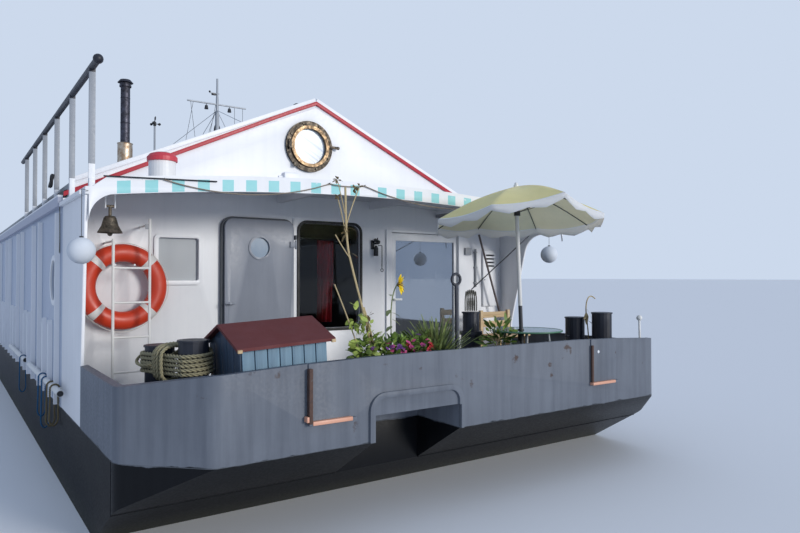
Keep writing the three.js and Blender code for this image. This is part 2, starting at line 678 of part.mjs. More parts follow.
const bellAxis = { x: -2333, y: -6300, z: 2835 };
const bellBracket = () => {
  const { x, y, z } = bellAxis;
  const above = alongY(outline([...porchUnder(gap), [halfBeam, 3400], [-halfBeam, 3400]]), y - 200, y + 200);
  const cheek = (dx) => box(x + dx - 5, x + dx + 5, y - 14, y + 14, z - 16, 3100);
  const plate = box(x - 60, x + 60, y - 40, y + 40, porchCeiling(x - 60) - 45, 3100);
  return cut(join(plate, cheek(-34), cheek(34)), above);
};
const bell = () => {
  const { x, y, z } = bellAxis;
  const cup = turned([
    [0, z - 88], [36, z - 98], [54, z - 152], [85, z - 206], [93, z - 206],
    [62, z - 150], [46, z - 92], [36, z - 78], [0, z - 72],
  ], x, y, 24);
  const pin = rod([x - 28, y, z], [x + 28, y, z], 10, 10);
  const stem = rod([x, y, z], [x, y, z - 75], 12, 10);
  const clapper = join(rod([x, y, z - 80], [x, y, z - 200], 5, 8), ball(x, y, z - 212, 20, 8));
  return join(cup, pin, stem, clapper);
};

const lantern = (x, y, z, hookX) => join(
  ball(x, y, z, 94, 14),
  rod([x, y, z + 84], [x, y, 2912], 3, 6),
  rod([x, y, 2908], [hookX, porchFront - 3, 2912], 4, 6));

// Kennel by the bow bulwark, ridge across the boat: y from front to back. It leans to the left, its
// foot cut level with the deck
const kennel = {
  left: -1850, right: -1258, front: -7850, back: -7290, eave: 1870, ridge: 1982, foot: 1100,
  before: 50, aside: 45, thick: 20, lean: THREE.MathUtils.degToRad(3), pivot: -1580,
};
const leaning = (geometry) => geometry
  .translate(-kennel.pivot, 0, -deckZ)
  .rotateY(-kennel.lean)
  .translate(kennel.pivot, 0, deckZ);
const kennelBody = () => cut(
  leaning(alongX(outline([
    [kennel.front, kennel.foot], [kennel.back, kennel.foot], [kennel.back, kennel.eave],
    [(kennel.front + kennel.back) / 2, kennel.ridge], [kennel.front, kennel.eave],
  ]), kennel.left, kennel.right)),
  box(kennel.left - 300, kennel.right + 300, kennel.front - 50, kennel.back + 50, 900, deckZ + gap));
const kennelRoof = () => {
  const middle = (kennel.front + kennel.back) / 2;
  const slope = (kennel.ridge - kennel.eave) / (middle - kennel.front);
  const low = kennel.eave - slope * kennel.before + gap;
  const high = kennel.ridge + gap;
  return leaning(alongX(outline([
    [kennel.front - kennel.before, low], [middle, high], [kennel.back + kennel.before, low],
    [kennel.back + kennel.before, low + kennel.thick], [middle, high + kennel.thick],
    [kennel.front - kennel.before, low + kennel.thick],
  ]), kennel.left - kennel.aside, kennel.right + kennel.aside));
};

const planterTop = 1600;
const planter = () => cut(
  box(-1050, -290, -7960, -7500, pocket.top + pocket.plate + gap, planterTop),
  box(-1030, -310, -7940, -7520, planterTop - 30, planterTop + 10));
const planting = () => {
  const clumps = [-880, -680, -500].map((x) => new THREE.SphereGeometry(1, 12, 8)
    .scale(190, 150, 240)
    .translate(x, -7790, 1630));
  const yucca = turned([[0, 1590], [60, 1590], [150, 1900], [120, 1990], [0, 2015]], -330, -7770, 12);
  return cut(join(...clumps, yucca), box(-2000, 1000, -8100, -7000, 1300, planterTop + gap));
};

// Table with a parasol through its middle

const tableX = 1150;
const tableY = -7250;
const tableTop = 1790;
const topX = 1205;
const poleHole = { x: tableX - 23, radius: 32 };
const table = () => {
  const round = ring(disc(topX, tableY, 335), disc(poleHole.x, tableY, poleHole.radius));
  const top = alongZ(round, tableTop - 20, tableTop, 16);
  const legs = [0, 1, 2, 3].map((i) => {
    const angle = Math.PI / 4 + Math.PI / 2 * i;
    const [across, along] = [Math.cos(angle), Math.sin(angle)];
    return rod([topX + 270 * across, tableY + 270 * along, deckZ + gap + 4],
      [topX + 200 * across, tableY + 200 * along, tableTop - 12], 12, 10);
  });
  const brace = alongZ(ring(disc(topX, tableY, 252), disc(topX, tableY, 226)), 1440, 1452, 12);
  return join(top, brace, ...legs);
};

// Parasol: its pole leans in its foot, and its eight corners stand at their own heights
const parasol = {
  x: 1070, y: tableY, radius: 807, rim: 2841, turn: 0.5241, valance: 72, shell: 6,
  lifts: [50, 155, 22, -37, -43, -42, -72, -30], hub: 3082, tip: 3150,
};
const parasolPole = () => join(
  turned([
    [0, deckZ + gap], [210, deckZ + gap], [210, deckZ + 30], [60, deckZ + 60],
    [30, deckZ + 70], [30, 1500], [0, 1500],
  ], tableX, tableY, 20),
  rod([tableX, tableY, 1400], [parasol.x, parasol.y, parasol.hub - 16], 19, 16));
const parasolCanopy = () => {
  const { x, y, radius, rim, turn, valance, shell, lifts, hub, tip } = parasol;
  const rise = (r) => (tip - rim) * (1 - r / radius) + 70 * Math.sin(Math.PI * r / radius) / 2;
  const profile = [
    [0, hub - rim + gap], [450, rise(450) - 14], [radius - shell, -6], [radius - shell, -valance],
    [radius, -valance], [radius, 2], [450, rise(450)], [0, tip - rim],
  ];
  const canopy = mergeVertices(new THREE.LatheGeometry(profile.map(([r, z]) => new THREE.Vector2(r, z)), 8)
    .rotateX(Math.PI / 2)
    .rotateZ(turn), 1e-3);
  const place = canopy.attributes.position;
  for (let i = 0; i < place.count; i += 1) {
    const [across, ahead] = [place.getX(i), place.getY(i)];
    const corner = Math.round((Math.atan2(ahead, across) - turn - Math.PI) / (Math.PI / 4));
    const lift = lifts[(corner + 16) % 8] * Math.hypot(across, ahead) / radius;
    place.setZ(i, place.getZ(i) + rim + lift);
  }
  return canopy.translate(x, y, 0);
};

const bench = () => {
  const [left, right] = [1850, 2370];
  const slats = [0, 1, 2].map((i) => box(left, right, -6180 + i * 120, -6080 + i * 120, 1590, 1612));
  const back = [0, 1].map((i) => box(left, right, -5835, -5815, 1690 + i * 110, 1760 + i * 110));
  const legs = [left + 20, right - 60].flatMap((x) => [
    box(x, x + 40, -6170, -6130, deckZ + gap, 1592), box(x, x + 40, -5860, -5820, deckZ + gap, 1890),
    box(x, x + 40, -6170, -5830, 1550, 1592),
  ]);
  return join(...slats, ...back, ...legs);
};

const ringPost = () => join(
  rod([-198, -7900, deckZ + gap], [-214, -7900, 2240], 14, 12),
  new THREE.TorusGeometry(42, 11, 6, 14).rotateX(Math.PI / 2).translate(-214, -7900, 2272));

const ballFitting = () => join(
  box(2090, 2190, -7890, -7790, deckZ + gap, deckZ + 20),
  rod([2150, -7840, deckZ + 10], [2130, -7840, 1880], 10, 12),
  ball(2130, -7840, 1896, 28, 14));

// Materials: colour, roughness, metalness

const finish = (color, roughness, metalness = 0) => new THREE.MeshStandardMaterial({
  color, roughness, metalness, flatShading: true,
});
const hullGrey = finish(0x72777f, 0.65, 0.3);
const white = finish(0xe9ebee, 0.5);
const red = finish(0xb83a48, 0.5);
const doorGrey = finish(0x747a86, 0.55, 0.2);
const darkGrey = finish(0x54585f, 0.6, 0.2);
const rubber = finish(0x17181a, 0.8);
const glass = finish(0x2b3540, 0.1);
const bronze = finish(0x8a6a3f, 0.45, 0.8);
const steelGrey = finish(0x9aa0a6, 0.5, 0.6);
const black = finish(0x23262c, 0.6, 0.3);
const orange = finish(0xd24f2c, 0.6);
const roofGrey = finish(0x8b8f94, 0.7);
const kennelRed = finish(0x5c2a28, 0.8);
const kennelBlue = finish(0x6d8a99, 0.8);
const wood = finish(0x8a6a4a, 0.8);
const green = finish(0x47633a, 0.9);
const yellow = finish(0xe0d088, 0.9);
const lampWhite = finish(0xf4f3ee, 0.8);
const rope = finish(0x8d8468, 0.95);

const boat = new THREE.Group();
const add = (name, geometry, material) => {
  const mesh = new THREE.Mesh(asGeometry(asSolid(geometry)), material);
  mesh.name = name;
  boat.add(mesh);
};

add("hull", hullAbaft(), hullGrey);
add("hull_bow_left", hullBow(-3000, pocket.left), hullGrey);
add("hull_bow_right", hullBow(pocket.right, 3000), hullGrey);
add("anchor_housing", anchorHousing(), hullGrey);
add("bulwark_bow", bowBulwark(), hullGrey);
add("bulwark_stern", sternBulwark(), hullGrey);
add("wall_right", sideWallRight(), white);
add("wall_left", mirrored(sideWallRight()), white);
add("wall_front", frontWall(), white);
add("wall_aft", aftWall(), white);
add("gable_front", frontGable(), white);
add("roof_right", roofRight(), roofGrey);
add("roof_left", mirrored(roofRight()), roofGrey);
add("fascia_front", frontFascia(), red);
add("porch_roof", porch(), white);
add("wing_left", wing(-1, wings.left), white);
add("wing_right", wing(1, wings.right), white);
add("side_porthole_glass_right", portholePaneRight(), glass);
add("side_porthole_glass_left", mirrored(portholePaneRight()), glass);
add("door_coaming", doorCoaming(), darkGrey);
add("steel_door", steelDoor(), doorGrey);
add("steel_door_glass", steelDoorGlass(), glass);
add("picture_window_frame", framed(pictureWindow, 30, cabinFront - 14, cabinFront - gap), rubber);
add("picture_window_glass", pane(pictureWindow, -5478, -5468), glass);
add("small_window_glass", pane(smallWindow, -5478, -5468), glass);
add("glass_door", glassDoor(), white);
add("glass_door_glass", glassDoorGlass(), glass);
add("locker_door", lockerDoor(), white);
add("aft_door", aftDoor(), doorGrey);
add("gable_porthole", gablePorthole(), bronze);
add("gable_porthole_glass", gableGlass(), glass);
add("roof_rail", roofRail(), steelGrey);
add("vent_head", ventHead(), white);
add("stove_pipe", stovePipe(), black);
add("wind_mast", windMast(), steelGrey);
add("wind_cups", windCups(), black);
add("signal_mast", signalMast(), steelGrey);
add("bollards_bow_left", bollardPair(bowLeft), black);
add("bollards_bow_right", bollardPair(bowRight), black);
add("bollard_bow_middle", singleBollard(), black);
add("bollards_stern_left", bollardPair([[-2120, 7450, 1870, -1], [-1900, 7230, 1870, 1]]), black);
add("bollards_stern_right", bollardPair([[2120, 7450, 1870, 1], [1900, 7230, 1870, -1]]), black);
add("mooring_rope", mooringRope(), rope);
add("rope_hank", ropeHank(), rope);
add("lifebuoy", lifebuoy(), orange);
add("ladder", ladder(), lampWhite);
add("bell_bracket", bellBracket(), darkGrey);
add("bell", bell(), bronze);
add("lantern_left", lantern(-2590, -6660, 2475, -2530), lampWhite);
add("lantern_right", lantern(2160, -6670, 2540, 2160), lampWhite);
add("kennel_body", kennelBody(), kennelBlue);
add("kennel_roof", kennelRoof(), kennelRed);
add("planter", planter(), wood);
add("planting", planting(), green);
add("table", table(), green);
add("parasol_pole", parasolPole(), lampWhite);
add("parasol_canopy", parasolCanopy(), yellow);
add("bench", bench(), wood);
add("ring_post", ringPost(), steelGrey);
add("ball_fitting", ballFitting(), lampWhite);

export default boat;
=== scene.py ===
# %% [markdown]
# A steel houseboat seen from ahead of its bow: a flat-bottomed lighter with a gabled cabin, a porch
# roof with painted blocks, and a foredeck full of fittings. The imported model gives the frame. This
# lesson gives it finishes, and models the pieces that a plain solid can't show.

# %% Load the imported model
import math
import random

import bpy
from mathutils import Euler, Matrix, Vector


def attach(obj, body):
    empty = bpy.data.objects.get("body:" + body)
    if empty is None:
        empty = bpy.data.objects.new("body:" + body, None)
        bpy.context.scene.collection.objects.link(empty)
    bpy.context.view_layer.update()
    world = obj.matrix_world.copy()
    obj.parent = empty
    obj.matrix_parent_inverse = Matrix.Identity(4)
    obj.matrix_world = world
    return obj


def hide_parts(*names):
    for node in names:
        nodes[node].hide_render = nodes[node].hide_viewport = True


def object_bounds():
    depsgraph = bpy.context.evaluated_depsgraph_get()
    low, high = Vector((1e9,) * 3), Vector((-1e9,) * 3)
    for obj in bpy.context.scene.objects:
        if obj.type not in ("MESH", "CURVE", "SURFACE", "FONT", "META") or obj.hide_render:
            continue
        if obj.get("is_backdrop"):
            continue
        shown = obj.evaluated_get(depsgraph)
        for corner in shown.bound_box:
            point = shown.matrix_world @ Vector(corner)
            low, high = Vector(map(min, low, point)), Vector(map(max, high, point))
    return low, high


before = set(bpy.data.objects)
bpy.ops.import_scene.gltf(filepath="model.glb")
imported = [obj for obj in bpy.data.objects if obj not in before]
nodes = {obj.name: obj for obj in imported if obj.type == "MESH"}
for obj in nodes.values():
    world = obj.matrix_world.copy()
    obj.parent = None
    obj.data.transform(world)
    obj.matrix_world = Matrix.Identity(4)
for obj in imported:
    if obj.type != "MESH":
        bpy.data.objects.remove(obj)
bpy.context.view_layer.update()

# %% [markdown]
# The camera stands ahead and to the left, at eye height, and looks across the bow. The floor lies at
# the waterline, so the hull below it is hidden. A soft sun stands to the right and ahead, and the
# pale studio sky fills the left side.

# %% Camera, floor and light
WATERLINE = 0.55
EYE = Vector((-3.40, -11.716, 2.29))
LOOK = Vector((0.5733, 0.8192, 0.016))
SENSOR = 36.0
LENS = 29.57
FAR = 2000
FLOOR_SIZE = 900
SKY_STRENGTH = 0.72
SUN_WAY = Vector((-0.34, 0.91, -0.22))
SUN_STRENGTH = 2.05
SUN_SPREAD = math.radians(16)


def tint(red, green, blue):
    """A colour as the eye sees it, 0 to 255, turned into the light values that shaders add up."""
    def light(value):
        value = value / 255
        return value / 12.92 if value <= 0.04045 else ((value + 0.055) / 1.055) ** 2.4
    return (light(red), light(green), light(blue), 1.0)


def aimed(way):
    """The turn that points a camera or a lamp along the way."""
    return way.to_track_quat("-Z", "Y").to_euler()


bpy.ops.object.camera_add(location=EYE)
camera = bpy.context.object
camera.rotation_euler = aimed(LOOK)
camera.data.sensor_width = SENSOR
camera.data.lens = LENS
camera.data.clip_end = FAR
bpy.context.scene.camera = camera

bpy.ops.mesh.primitive_plane_add(size=FLOOR_SIZE, location=(0, 0, WATERLINE))
floor = bpy.context.object
floor.name = "floor"
floor_paint = bpy.data.materials.new("floor_paint")
floor_paint.use_nodes = True
floor_shader = floor_paint.node_tree.nodes["Principled BSDF"]
floor_shader.inputs["Base Color"].default_value = tint(238, 240, 243)
floor_shader.inputs["Roughness"].default_value = 0.95
floor_shader.inputs["Specular IOR Level"].default_value = 0.1
floor.data.materials.append(floor_paint)
floor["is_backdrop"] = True
print("floor at", WATERLINE)

# %% [markdown]
# The sky that lights the boat is a little bluer and dimmer than the one behind it. The camera's own
# rays are told apart from the rest, and each kind sees its own background.

# %% Sky and sun
world = bpy.data.worlds.new("studio")
bpy.context.scene.world = world
world.use_nodes = True
studio = world.node_tree
sky = studio.nodes["Background"]
sky.inputs["Color"].default_value = tint(196, 213, 240)
sky.inputs["Strength"].default_value = SKY_STRENGTH
backdrop = studio.nodes.new("ShaderNodeBackground")
backdrop.inputs["Color"].default_value = tint(204, 217, 236)
seen = studio.nodes.new("ShaderNodeLightPath")
chosen = studio.nodes.new("ShaderNodeMixShader")
studio.links.new(seen.outputs["Is Camera Ray"], chosen.inputs[0])
studio.links.new(sky.outputs[0], chosen.inputs[1])
studio.links.new(backdrop.outputs[0], chosen.inputs[2])
studio.links.new(chosen.outputs[0], studio.nodes["World Output"].inputs["Surface"])
bpy.context.scene.view_settings.view_transform = "Standard"

bpy.ops.object.light_add(type="SUN", location=(10, -20, 20))
sun = bpy.context.object
sun.rotation_euler = aimed(SUN_WAY)
sun.data.energy = SUN_STRENGTH
sun.data.angle = SUN_SPREAD
sun.data.color = (1.0, 0.97, 0.92)
print("sun strength", SUN_STRENGTH)

# %% [markdown]
# Every material is made from a few nodes. One helper puts a node into a tree, sets its values and
# joins its inputs. What comes out of a node is a field, a value that changes over the surface, and
# fields can be added, multiplied and compared like numbers.

# %% Node helpers
class Field:
    """A node's output. Each sum or test makes the node for it."""

    def __init__(self, tree, socket):
        self.tree = tree
        self.socket = socket

    def math(self, operation, *values):
        return output(self.tree, "ShaderNodeMath", dict(enumerate((self, *values))), operation=operation)

    def __add__(self, other):
        return self.math("ADD", other)

    def __radd__(self, other):
        return self.math("ADD", other)

    def __sub__(self, other):
        return self.math("SUBTRACT", other)

    def __rsub__(self, other):
        return output(self.tree, "ShaderNodeMath", {0: other, 1: self}, operation="SUBTRACT")

    def __mul__(self, other):
        return self.math("MULTIPLY", other)

    def __truediv__(self, other):
        return self.math("DIVIDE", other)

    def __gt__(self, other):
        return self.math("GREATER_THAN", other)

    def __lt__(self, other):
        return self.math("LESS_THAN", other)

    def __abs__(self):
        return self.math("ABSOLUTE")

    def ramp(self, low, high, to_low=0.0, to_high=1.0):
        inputs = {0: self, 1: low, 2: high, 3: to_low, 4: to_high}
        return output(self.tree, "ShaderNodeMapRange", inputs)

    def near(self, level, width):
        """1 where the field is at the level, fading to 0 at the width's distance."""
        return abs(self - level).ramp(0.0, width, 1.0, 0.0)


def put(tree, kind, inputs=None, **settings):
    """A new node with its settings made and its inputs set or joined."""
    made = tree.nodes.new(kind)
    for key, value in settings.items():
        setattr(made, key, value)
    for key, value in (inputs or {}).items():
        if isinstance(value, Field):
            tree.links.new(value.socket, made.inputs[key])
        else:
            made.inputs[key].default_value = value
    return made


def output(tree, kind, inputs=None, of=0, **settings):
    return Field(tree, put(tree, kind, inputs, **settings).outputs[of])


def mixed(tree, factor, first, second, blend="MIX"):
    inputs = {0: factor, 6: first, 7: second}
    return output(tree, "ShaderNodeMix", inputs, 2, data_type="RGBA", blend_type=blend)


def place(tree):
    return output(tree, "ShaderNodeTexCoord", of="Object")


def axes(tree):
    parted = put(tree, "ShaderNodeSeparateXYZ", {0: place(tree)})
    return [Field(tree, socket) for socket in parted.outputs]


def stretched(tree, scale):
    return output(tree, "ShaderNodeMapping", {"Vector": place(tree), "Scale": scale})


def cloud(tree, scale, detail=4.0, rough=0.55, vector=None, warp=0.0):
    inputs = {"Vector": vector or place(tree), "Scale": scale, "Detail": detail, "Roughness": rough,
              "Distortion": warp}
    return output(tree, "ShaderNodeTexNoise", inputs, "Fac")


# %% [markdown]
# Painted steel that has stood outdoors is never one colour. Broad clouds of tone, thin runs where
# water ran down, and rust that breaks through near edges are the same effect on the hull, walls and
# rails, so they are one node group, with the amounts as inputs.

# %% The group for weathered paint
WHITE = (1, 1, 1, 1)
OLD_RUST = tint(92, 66, 55)
RUST_STARTS, RUST_WHOLE = 0.87, 0.93


def node_group(name, starts, results):
    """An empty group, with its inputs' starting values and its outputs' kinds."""
    tree = bpy.data.node_groups.new(name, "ShaderNodeTree")
    for label, start in starts.items():
        kind = "NodeSocketFloat" if isinstance(start, float) else "NodeSocketColor"
        tree.interface.new_socket(label, in_out="INPUT", socket_type=kind).default_value = start
    for label, kind in results.items():
        tree.interface.new_socket(label, in_out="OUTPUT", socket_type=kind)
    given = {socket.name: Field(tree, socket) for socket in put(tree, "NodeGroupInput").outputs}
    return tree, given


weather, given = node_group(
    "weathered_paint",
    {"Paint": WHITE, "Tone": WHITE, "Rust": WHITE, "Rust amount": 0.2, "Runs": 0.3, "Edge": 0.0,
     "Scale": 1.0},
    {"Color": "NodeSocketColor", "Roughness": "NodeSocketFloat", "Height": "NodeSocketFloat"},
)
scale_inputs = {0: place(weather), "Scale": given["Scale"]}
scaled = output(weather, "ShaderNodeVectorMath", scale_inputs, operation="SCALE")
patchy = cloud(weather, 1.1, 6, 0.62, scaled)
speckle = cloud(weather, 55.0, 3, 0.6)
fall = stretched(weather, (9.0, 9.0, 0.55))
runs = cloud(weather, 1.6, 5, 0.6, fall).ramp(0.42, 0.72)
tone = patchy * 0.75 + runs * given["Runs"]
painted = mixed(weather, tone.ramp(0.30, 0.80), given["Paint"], given["Tone"])
bloom = cloud(weather, 3.1, 9, 0.68, scaled, 0.5)
pitted = cloud(weather, 24.0, 5, 0.65)
rusty = bloom + pitted * 0.22 + (given["Rust amount"] + given["Edge"]) * 0.42
rust_mask = rusty.ramp(RUST_STARTS, RUST_WHOLE)
rust_tone = mixed(weather, pitted, given["Rust"], OLD_RUST)
put(weather, "NodeGroupOutput", {
    "Color": mixed(weather, rust_mask, painted, rust_tone),
    "Roughness": speckle.ramp(0.3, 0.7, 0.38, 0.52) + rust_mask * 0.35,
    "Height": speckle * 0.15 + rust_mask * pitted * 1.2,
})
print("weathered paint nodes:", len(weather.nodes))

# %% [markdown]
# A material starts as one shader with its plain values set on its own sockets. Colours, roughness
# and bumps that change over the surface come in through links.

# %% Starting a material
RUST = tint(66, 50, 46)
PAINT_RELIEF = 0.0022


def shader(name, roughness=0.5, metallic=0.0, **sockets):
    material = bpy.data.materials.new(name)
    material.use_nodes = True
    tree = material.node_tree
    principled = tree.nodes["Principled BSDF"]
    sockets = {"Roughness": roughness, "Metallic": metallic, **sockets}
    for label, value in sockets.items():
        principled.inputs[label.replace("_", " ")].default_value = value
    return material, tree, principled


def fed(principled, label, field):
    field.tree.links.new(field.socket, principled.inputs[label])


def bumped(principled, height, distance):
    inputs = {"Height": height, "Distance": distance, "Strength": 1.0}
    fed(principled, "Normal", output(height.tree, "ShaderNodeBump", inputs))


def darker(colour, share):
    return tuple(share * value for value in colour[:3]) + (1,)


def weathered(name, paint, tone, rust=0.2, runs=0.3, scale=1.0, edge=None, over=None, dent=0.0, metallic=0.0):
    """Weathered paint as a whole material: edge gives where rust gathers, over may repaint the result."""
    material, tree, principled = shader(name, metallic=metallic)
    inputs = {"Paint": tint(*paint), "Tone": tint(*tone), "Rust": RUST, "Rust amount": rust, "Runs": runs,
              "Scale": scale}
    if edge:
        inputs["Edge"] = edge(tree)
    worn = put(tree, "ShaderNodeGroup", inputs, node_tree=weather)
    colour, roughness, height = [Field(tree, socket) for socket in worn.outputs]
    if over:
        colour = over(tree, colour)
    if dent:
        height = height + cloud(tree, 1.7, 2, 0.5) * dent
    fed(principled, "Base Color", colour)
    fed(principled, "Roughness", roughness)
    bumped(principled, height, PAINT_RELIEF)
    return material


# %% [markdown]
# The hull is grey above its knuckle and charcoal below, where the plates rake back to the water. The
# charcoal is darkened further by painted shade, for the shadow under the raked plates.
# Rust gathers along the knuckle, under the bulwark's top and round the anchor pocket, and a band of
# slime marks the water's edge.

# %% Hull paint
KNUCKLE = 1.184
KNUCKLE_EDGE = KNUCKLE + 0.025
BULWARK_TOP = 1.72
POCKET_X, POCKET_Z = -0.62, 1.25
RAKE_SHADE = tint(60, 60, 62)
SLIME = tint(44, 46, 40)
FLECK = tint(72, 56, 50)
RUST_SPOTS = [
    # x, z, reach, strength
    (0.905, 1.700, 0.060, 1.0), (0.960, 1.670, 0.045, 0.8), (0.700, 1.560, 0.050, 1.0),
    (0.715, 1.480, 0.070, 0.6), (0.310, 1.655, 0.055, 0.9), (0.270, 1.600, 0.080, 0.6),
    (-0.300, 1.560, 0.080, 0.5), (-0.150, 1.500, 0.090, 0.5), (0.420, 1.400, 0.070, 0.6),
    (0.860, 1.600, 0.120, 0.5), (-0.900, 1.700, 0.140, 0.5), (-1.350, 1.350, 0.120, 0.5),
    (-1.150, 1.300, 0.100, 0.6), (-1.700, 1.690, 0.080, 0.6), (-2.150, 1.590, 0.100, 0.5),
    (1.540, 1.620, 0.035, 1.0), (1.950, 1.500, 0.080, 0.5), (2.300, 1.660, 0.080, 0.5),
    (1.150, 1.240, 0.060, 0.5), (-0.620, 1.650, 0.060, 0.7),
]


def rust_spots(x, z):
    total = 0.0
    for spot_x, spot_z, reach, strength in RUST_SPOTS:
        total = total + x.near(spot_x, reach) * z.near(spot_z, reach) * strength
    return total


def deck_mask(z):
    """1 on the deck, which lies at the knuckle's height exactly, and 0 on the plates beside it."""
    return abs(z - KNUCKLE) < 0.002


def hull_edges(tree):
    x, y, z = axes(tree)
    knuckle = z.near(KNUCKLE, 0.035) * (1.0 - deck_mask(z)) * 0.22
    top = z.near(BULWARK_TOP, 0.07) * 0.22
    pocket = x.near(POCKET_X, 0.52) * z.near(POCKET_Z, 0.22) * 0.25
    return knuckle + (top + pocket)


def hull_zones(tree, colour):
    x, y, z = axes(tree)
    ragged = z + cloud(tree, 6.0, 5) * 0.05
    below = ragged.ramp(KNUCKLE_EDGE - 0.004, KNUCKLE_EDGE + 0.004, 1.0, 0.0)
    # Below the knuckle the colour is multiplied by RAKE_SHADE: charcoal paint, darkened further as painted
    # shade under the raked plates.
    colour = mixed(tree, below, colour, mixed(tree, 1.0, colour, RAKE_SHADE, "MULTIPLY"))
    slime = ragged.ramp(WATERLINE + 0.05, WATERLINE + 0.20, 1.0, 0.0)
    colour = mixed(tree, slime * 0.8, colour, SLIME)
    flecks = rust_spots(x, z) * 0.42 + cloud(tree, 16.0, 8, 0.72)
    colour = mixed(tree, flecks.ramp(0.70, 0.82) * 0.85, colour, FLECK)
    trodden = mixed(tree, cloud(tree, 2.4, 6, 0.6).ramp(0.35, 0.65), tint(98, 103, 110), tint(78, 82, 88))
    return mixed(tree, deck_mask(z), colour, trodden)


hull_paint = weathered("hull_grey", (110, 116, 126), (82, 87, 97), 0.12, 0.22, 0.9, hull_edges,
                       hull_zones, 3.0)
hull_paint.node_tree.nodes["Principled BSDF"].inputs["Specular IOR Level"].default_value = 0.14
white_paint = weathered("cabin_white", (236, 237, 240), (216, 219, 224), -0.35, 0.10, 0.7, dent=0.6)
door_paint = weathered("door_grey", (136, 142, 154), (122, 128, 140), -0.15, 0.2, 1.5, dent=0.4)
dark_paint = weathered("coaming_grey", (84, 89, 96), (68, 72, 78), -0.1, 0.2, 2.0)
mast_paint = weathered("mast_grey", (158, 164, 172), (132, 137, 144), -0.1, 0.1, 2.5, metallic=0.2)
bollard_paint = weathered("bollard_black", (40, 44, 56), (28, 31, 40), -0.02, 0.3, 3.0, metallic=0.1)
ladder_paint = weathered("ladder_white", (228, 228, 226), (204, 204, 200), -0.1, 0.1, 3.0)
print("paints made")

# %% [markdown]
# Some pieces are painted in several colours, cut in by hand along an edge. A test on the place says
# where each colour goes: the eave is lavender with a white lip, the roof's front edge is white, the
# rail's top pipe is dark blue and its feet are white, the vent has a red cap, and the parasol's pole
# is dark below its joint. On the side walls the panels between the ribs get a bluish grey that is
# painted shade, the sky-lit shadow in their recesses, while the ribs stay white.

# %% Paints cut in by place
EAVE_TOP = 3.02
TRIM_WHITE = tint(226, 228, 232)


def roof_zones(tree, colour):
    x, y, z = axes(tree)
    outside = abs(x)
    colour = mixed(tree, (outside > 2.467) * (z < EAVE_TOP), colour, tint(172, 176, 192))
    colour = mixed(tree, (outside > 2.47) * (z > 2.972) * (z < EAVE_TOP), colour, TRIM_WHITE)
    return mixed(tree, (y < -5.222) * (outside < 2.466), colour, TRIM_WHITE)


def rail_zones(tree, colour):
    x, y, z = axes(tree)
    colour = mixed(tree, z > 3.792, colour, tint(34, 36, 46))
    return mixed(tree, z < 3.118, colour, tint(224, 226, 230))


# Painted shade: the wall panels between the ribs are bluish grey for the shadow in their recesses.
def wall_panel_shade(tree, colour):
    x, y, z = axes(tree)
    outside = abs(x)
    return mixed(tree, (outside > 2.54) * (outside < 2.556), colour, tint(178, 188, 206))


def vent_zones(tree, colour):
    x, y, z = axes(tree)
    return mixed(tree, z > 3.250, colour, tint(196, 60, 72))


def pole_zones(tree, colour):
    x, y, z = axes(tree)
    return mixed(tree, z < 2.018, colour, tint(58, 60, 66))


roof_paint = weathered("roof_grey", (142, 146, 150), (112, 116, 120), -0.1, 0.4, 0.6, over=roof_zones)
rail_paint = weathered("rail_grey", (142, 148, 157), (120, 126, 134), -0.02, 0.1, 2.5, over=rail_zones)
wall_paint = weathered("wall_white", (236, 237, 240), (216, 219, 224), -0.35, 0.06, 0.7,
                       over=wall_panel_shade, dent=0.6)
vent_paint = weathered("vent_white", (230, 230, 230), (208, 208, 208), -0.3, 0.2, 2.0, over=vent_zones)
pole_paint = weathered("pole_white", (228, 228, 226), (204, 204, 200), -0.1, 0.1, 3.0, over=pole_zones)
print("cut-in paints: 5")

# %% [markdown]
# The porch band carries square blocks of turquoise on white. They are paint, so they are a pattern
# on the band's front face only: a saw of the x coordinate picks block or gap, and the arch's own
# formula gives how high they reach. The painter worked in from both ends, so there are two series.

# %% Porch paint with blocks and painted shade on the beams, and red verge boards
PORCH_FRONT = -6.55
PORCH_CROWN = 3.036
PORCH_BEND = 0.0244
PORCH_BEAMS = (-0.56, 0.56, 1.50)
BLOCK_SERIES = [
    # first block's left edge, pitch, width, from, to
    (-2.336, 0.2000, 0.096, -2.36, -0.19),
    (-0.038, 0.2115, 0.098, -0.10, 2.36),
]


def porch_blocks(tree, colour):
    x, y, z = axes(tree)
    height = z - (PORCH_CROWN - x * x * PORCH_BEND)
    blocks = 0.0
    for start, pitch, width, first, last in BLOCK_SERIES:
        saw = ((x - start) / pitch).math("FRACT")
        blocks = blocks + (saw < width / pitch) * ((x > first) * (x < last))
    worn = blocks * cloud(tree, 18.0, 6).ramp(0.28, 0.36)
    turquoise = mixed(tree, cloud(tree, 5.0), tint(122, 200, 204), tint(156, 212, 214))
    band = (height > 0.004) * (height < 0.098) * (y < PORCH_FRONT + 0.004)
    return mixed(tree, band, colour, mixed(tree, worn, colour, turquoise))


def porch_blocks_and_beam_shade(tree, colour):
    x, y, z = axes(tree)
    colour = porch_blocks(tree, colour)
    # The beams' sides under the porch roof are painted a darker grey, as painted shade under the roof.
    for beam in PORCH_BEAMS:
        side = (abs(x - beam) < 0.030) * (y > -6.53) * (z < 3.04)
        colour = mixed(tree, side, colour, tint(138, 139, 144))
    return colour


porch_paint = weathered("porch_white", (234, 235, 238), (214, 217, 222), -0.3, 0.12, 0.9, over=porch_blocks_and_beam_shade)
red_paint = weathered("verge_red", (176, 30, 48), (156, 24, 40), -0.3, 0.1, 1.2)
print("porch beams:", len(PORCH_BEAMS))

# %% [markdown]
# Bronze and steel that tarnish have bright and dull patches, and the dull ones are rougher. The
# gable's round window has a flange gone dark brown, and an inner ring that hands have kept bright.
# One bronze does both, with the distance from the window's middle as its test.

# %% Metals
GABLE_LIGHT = Vector((-0.088, -5.225, 3.722))
BRIGHT_RING = 0.2285


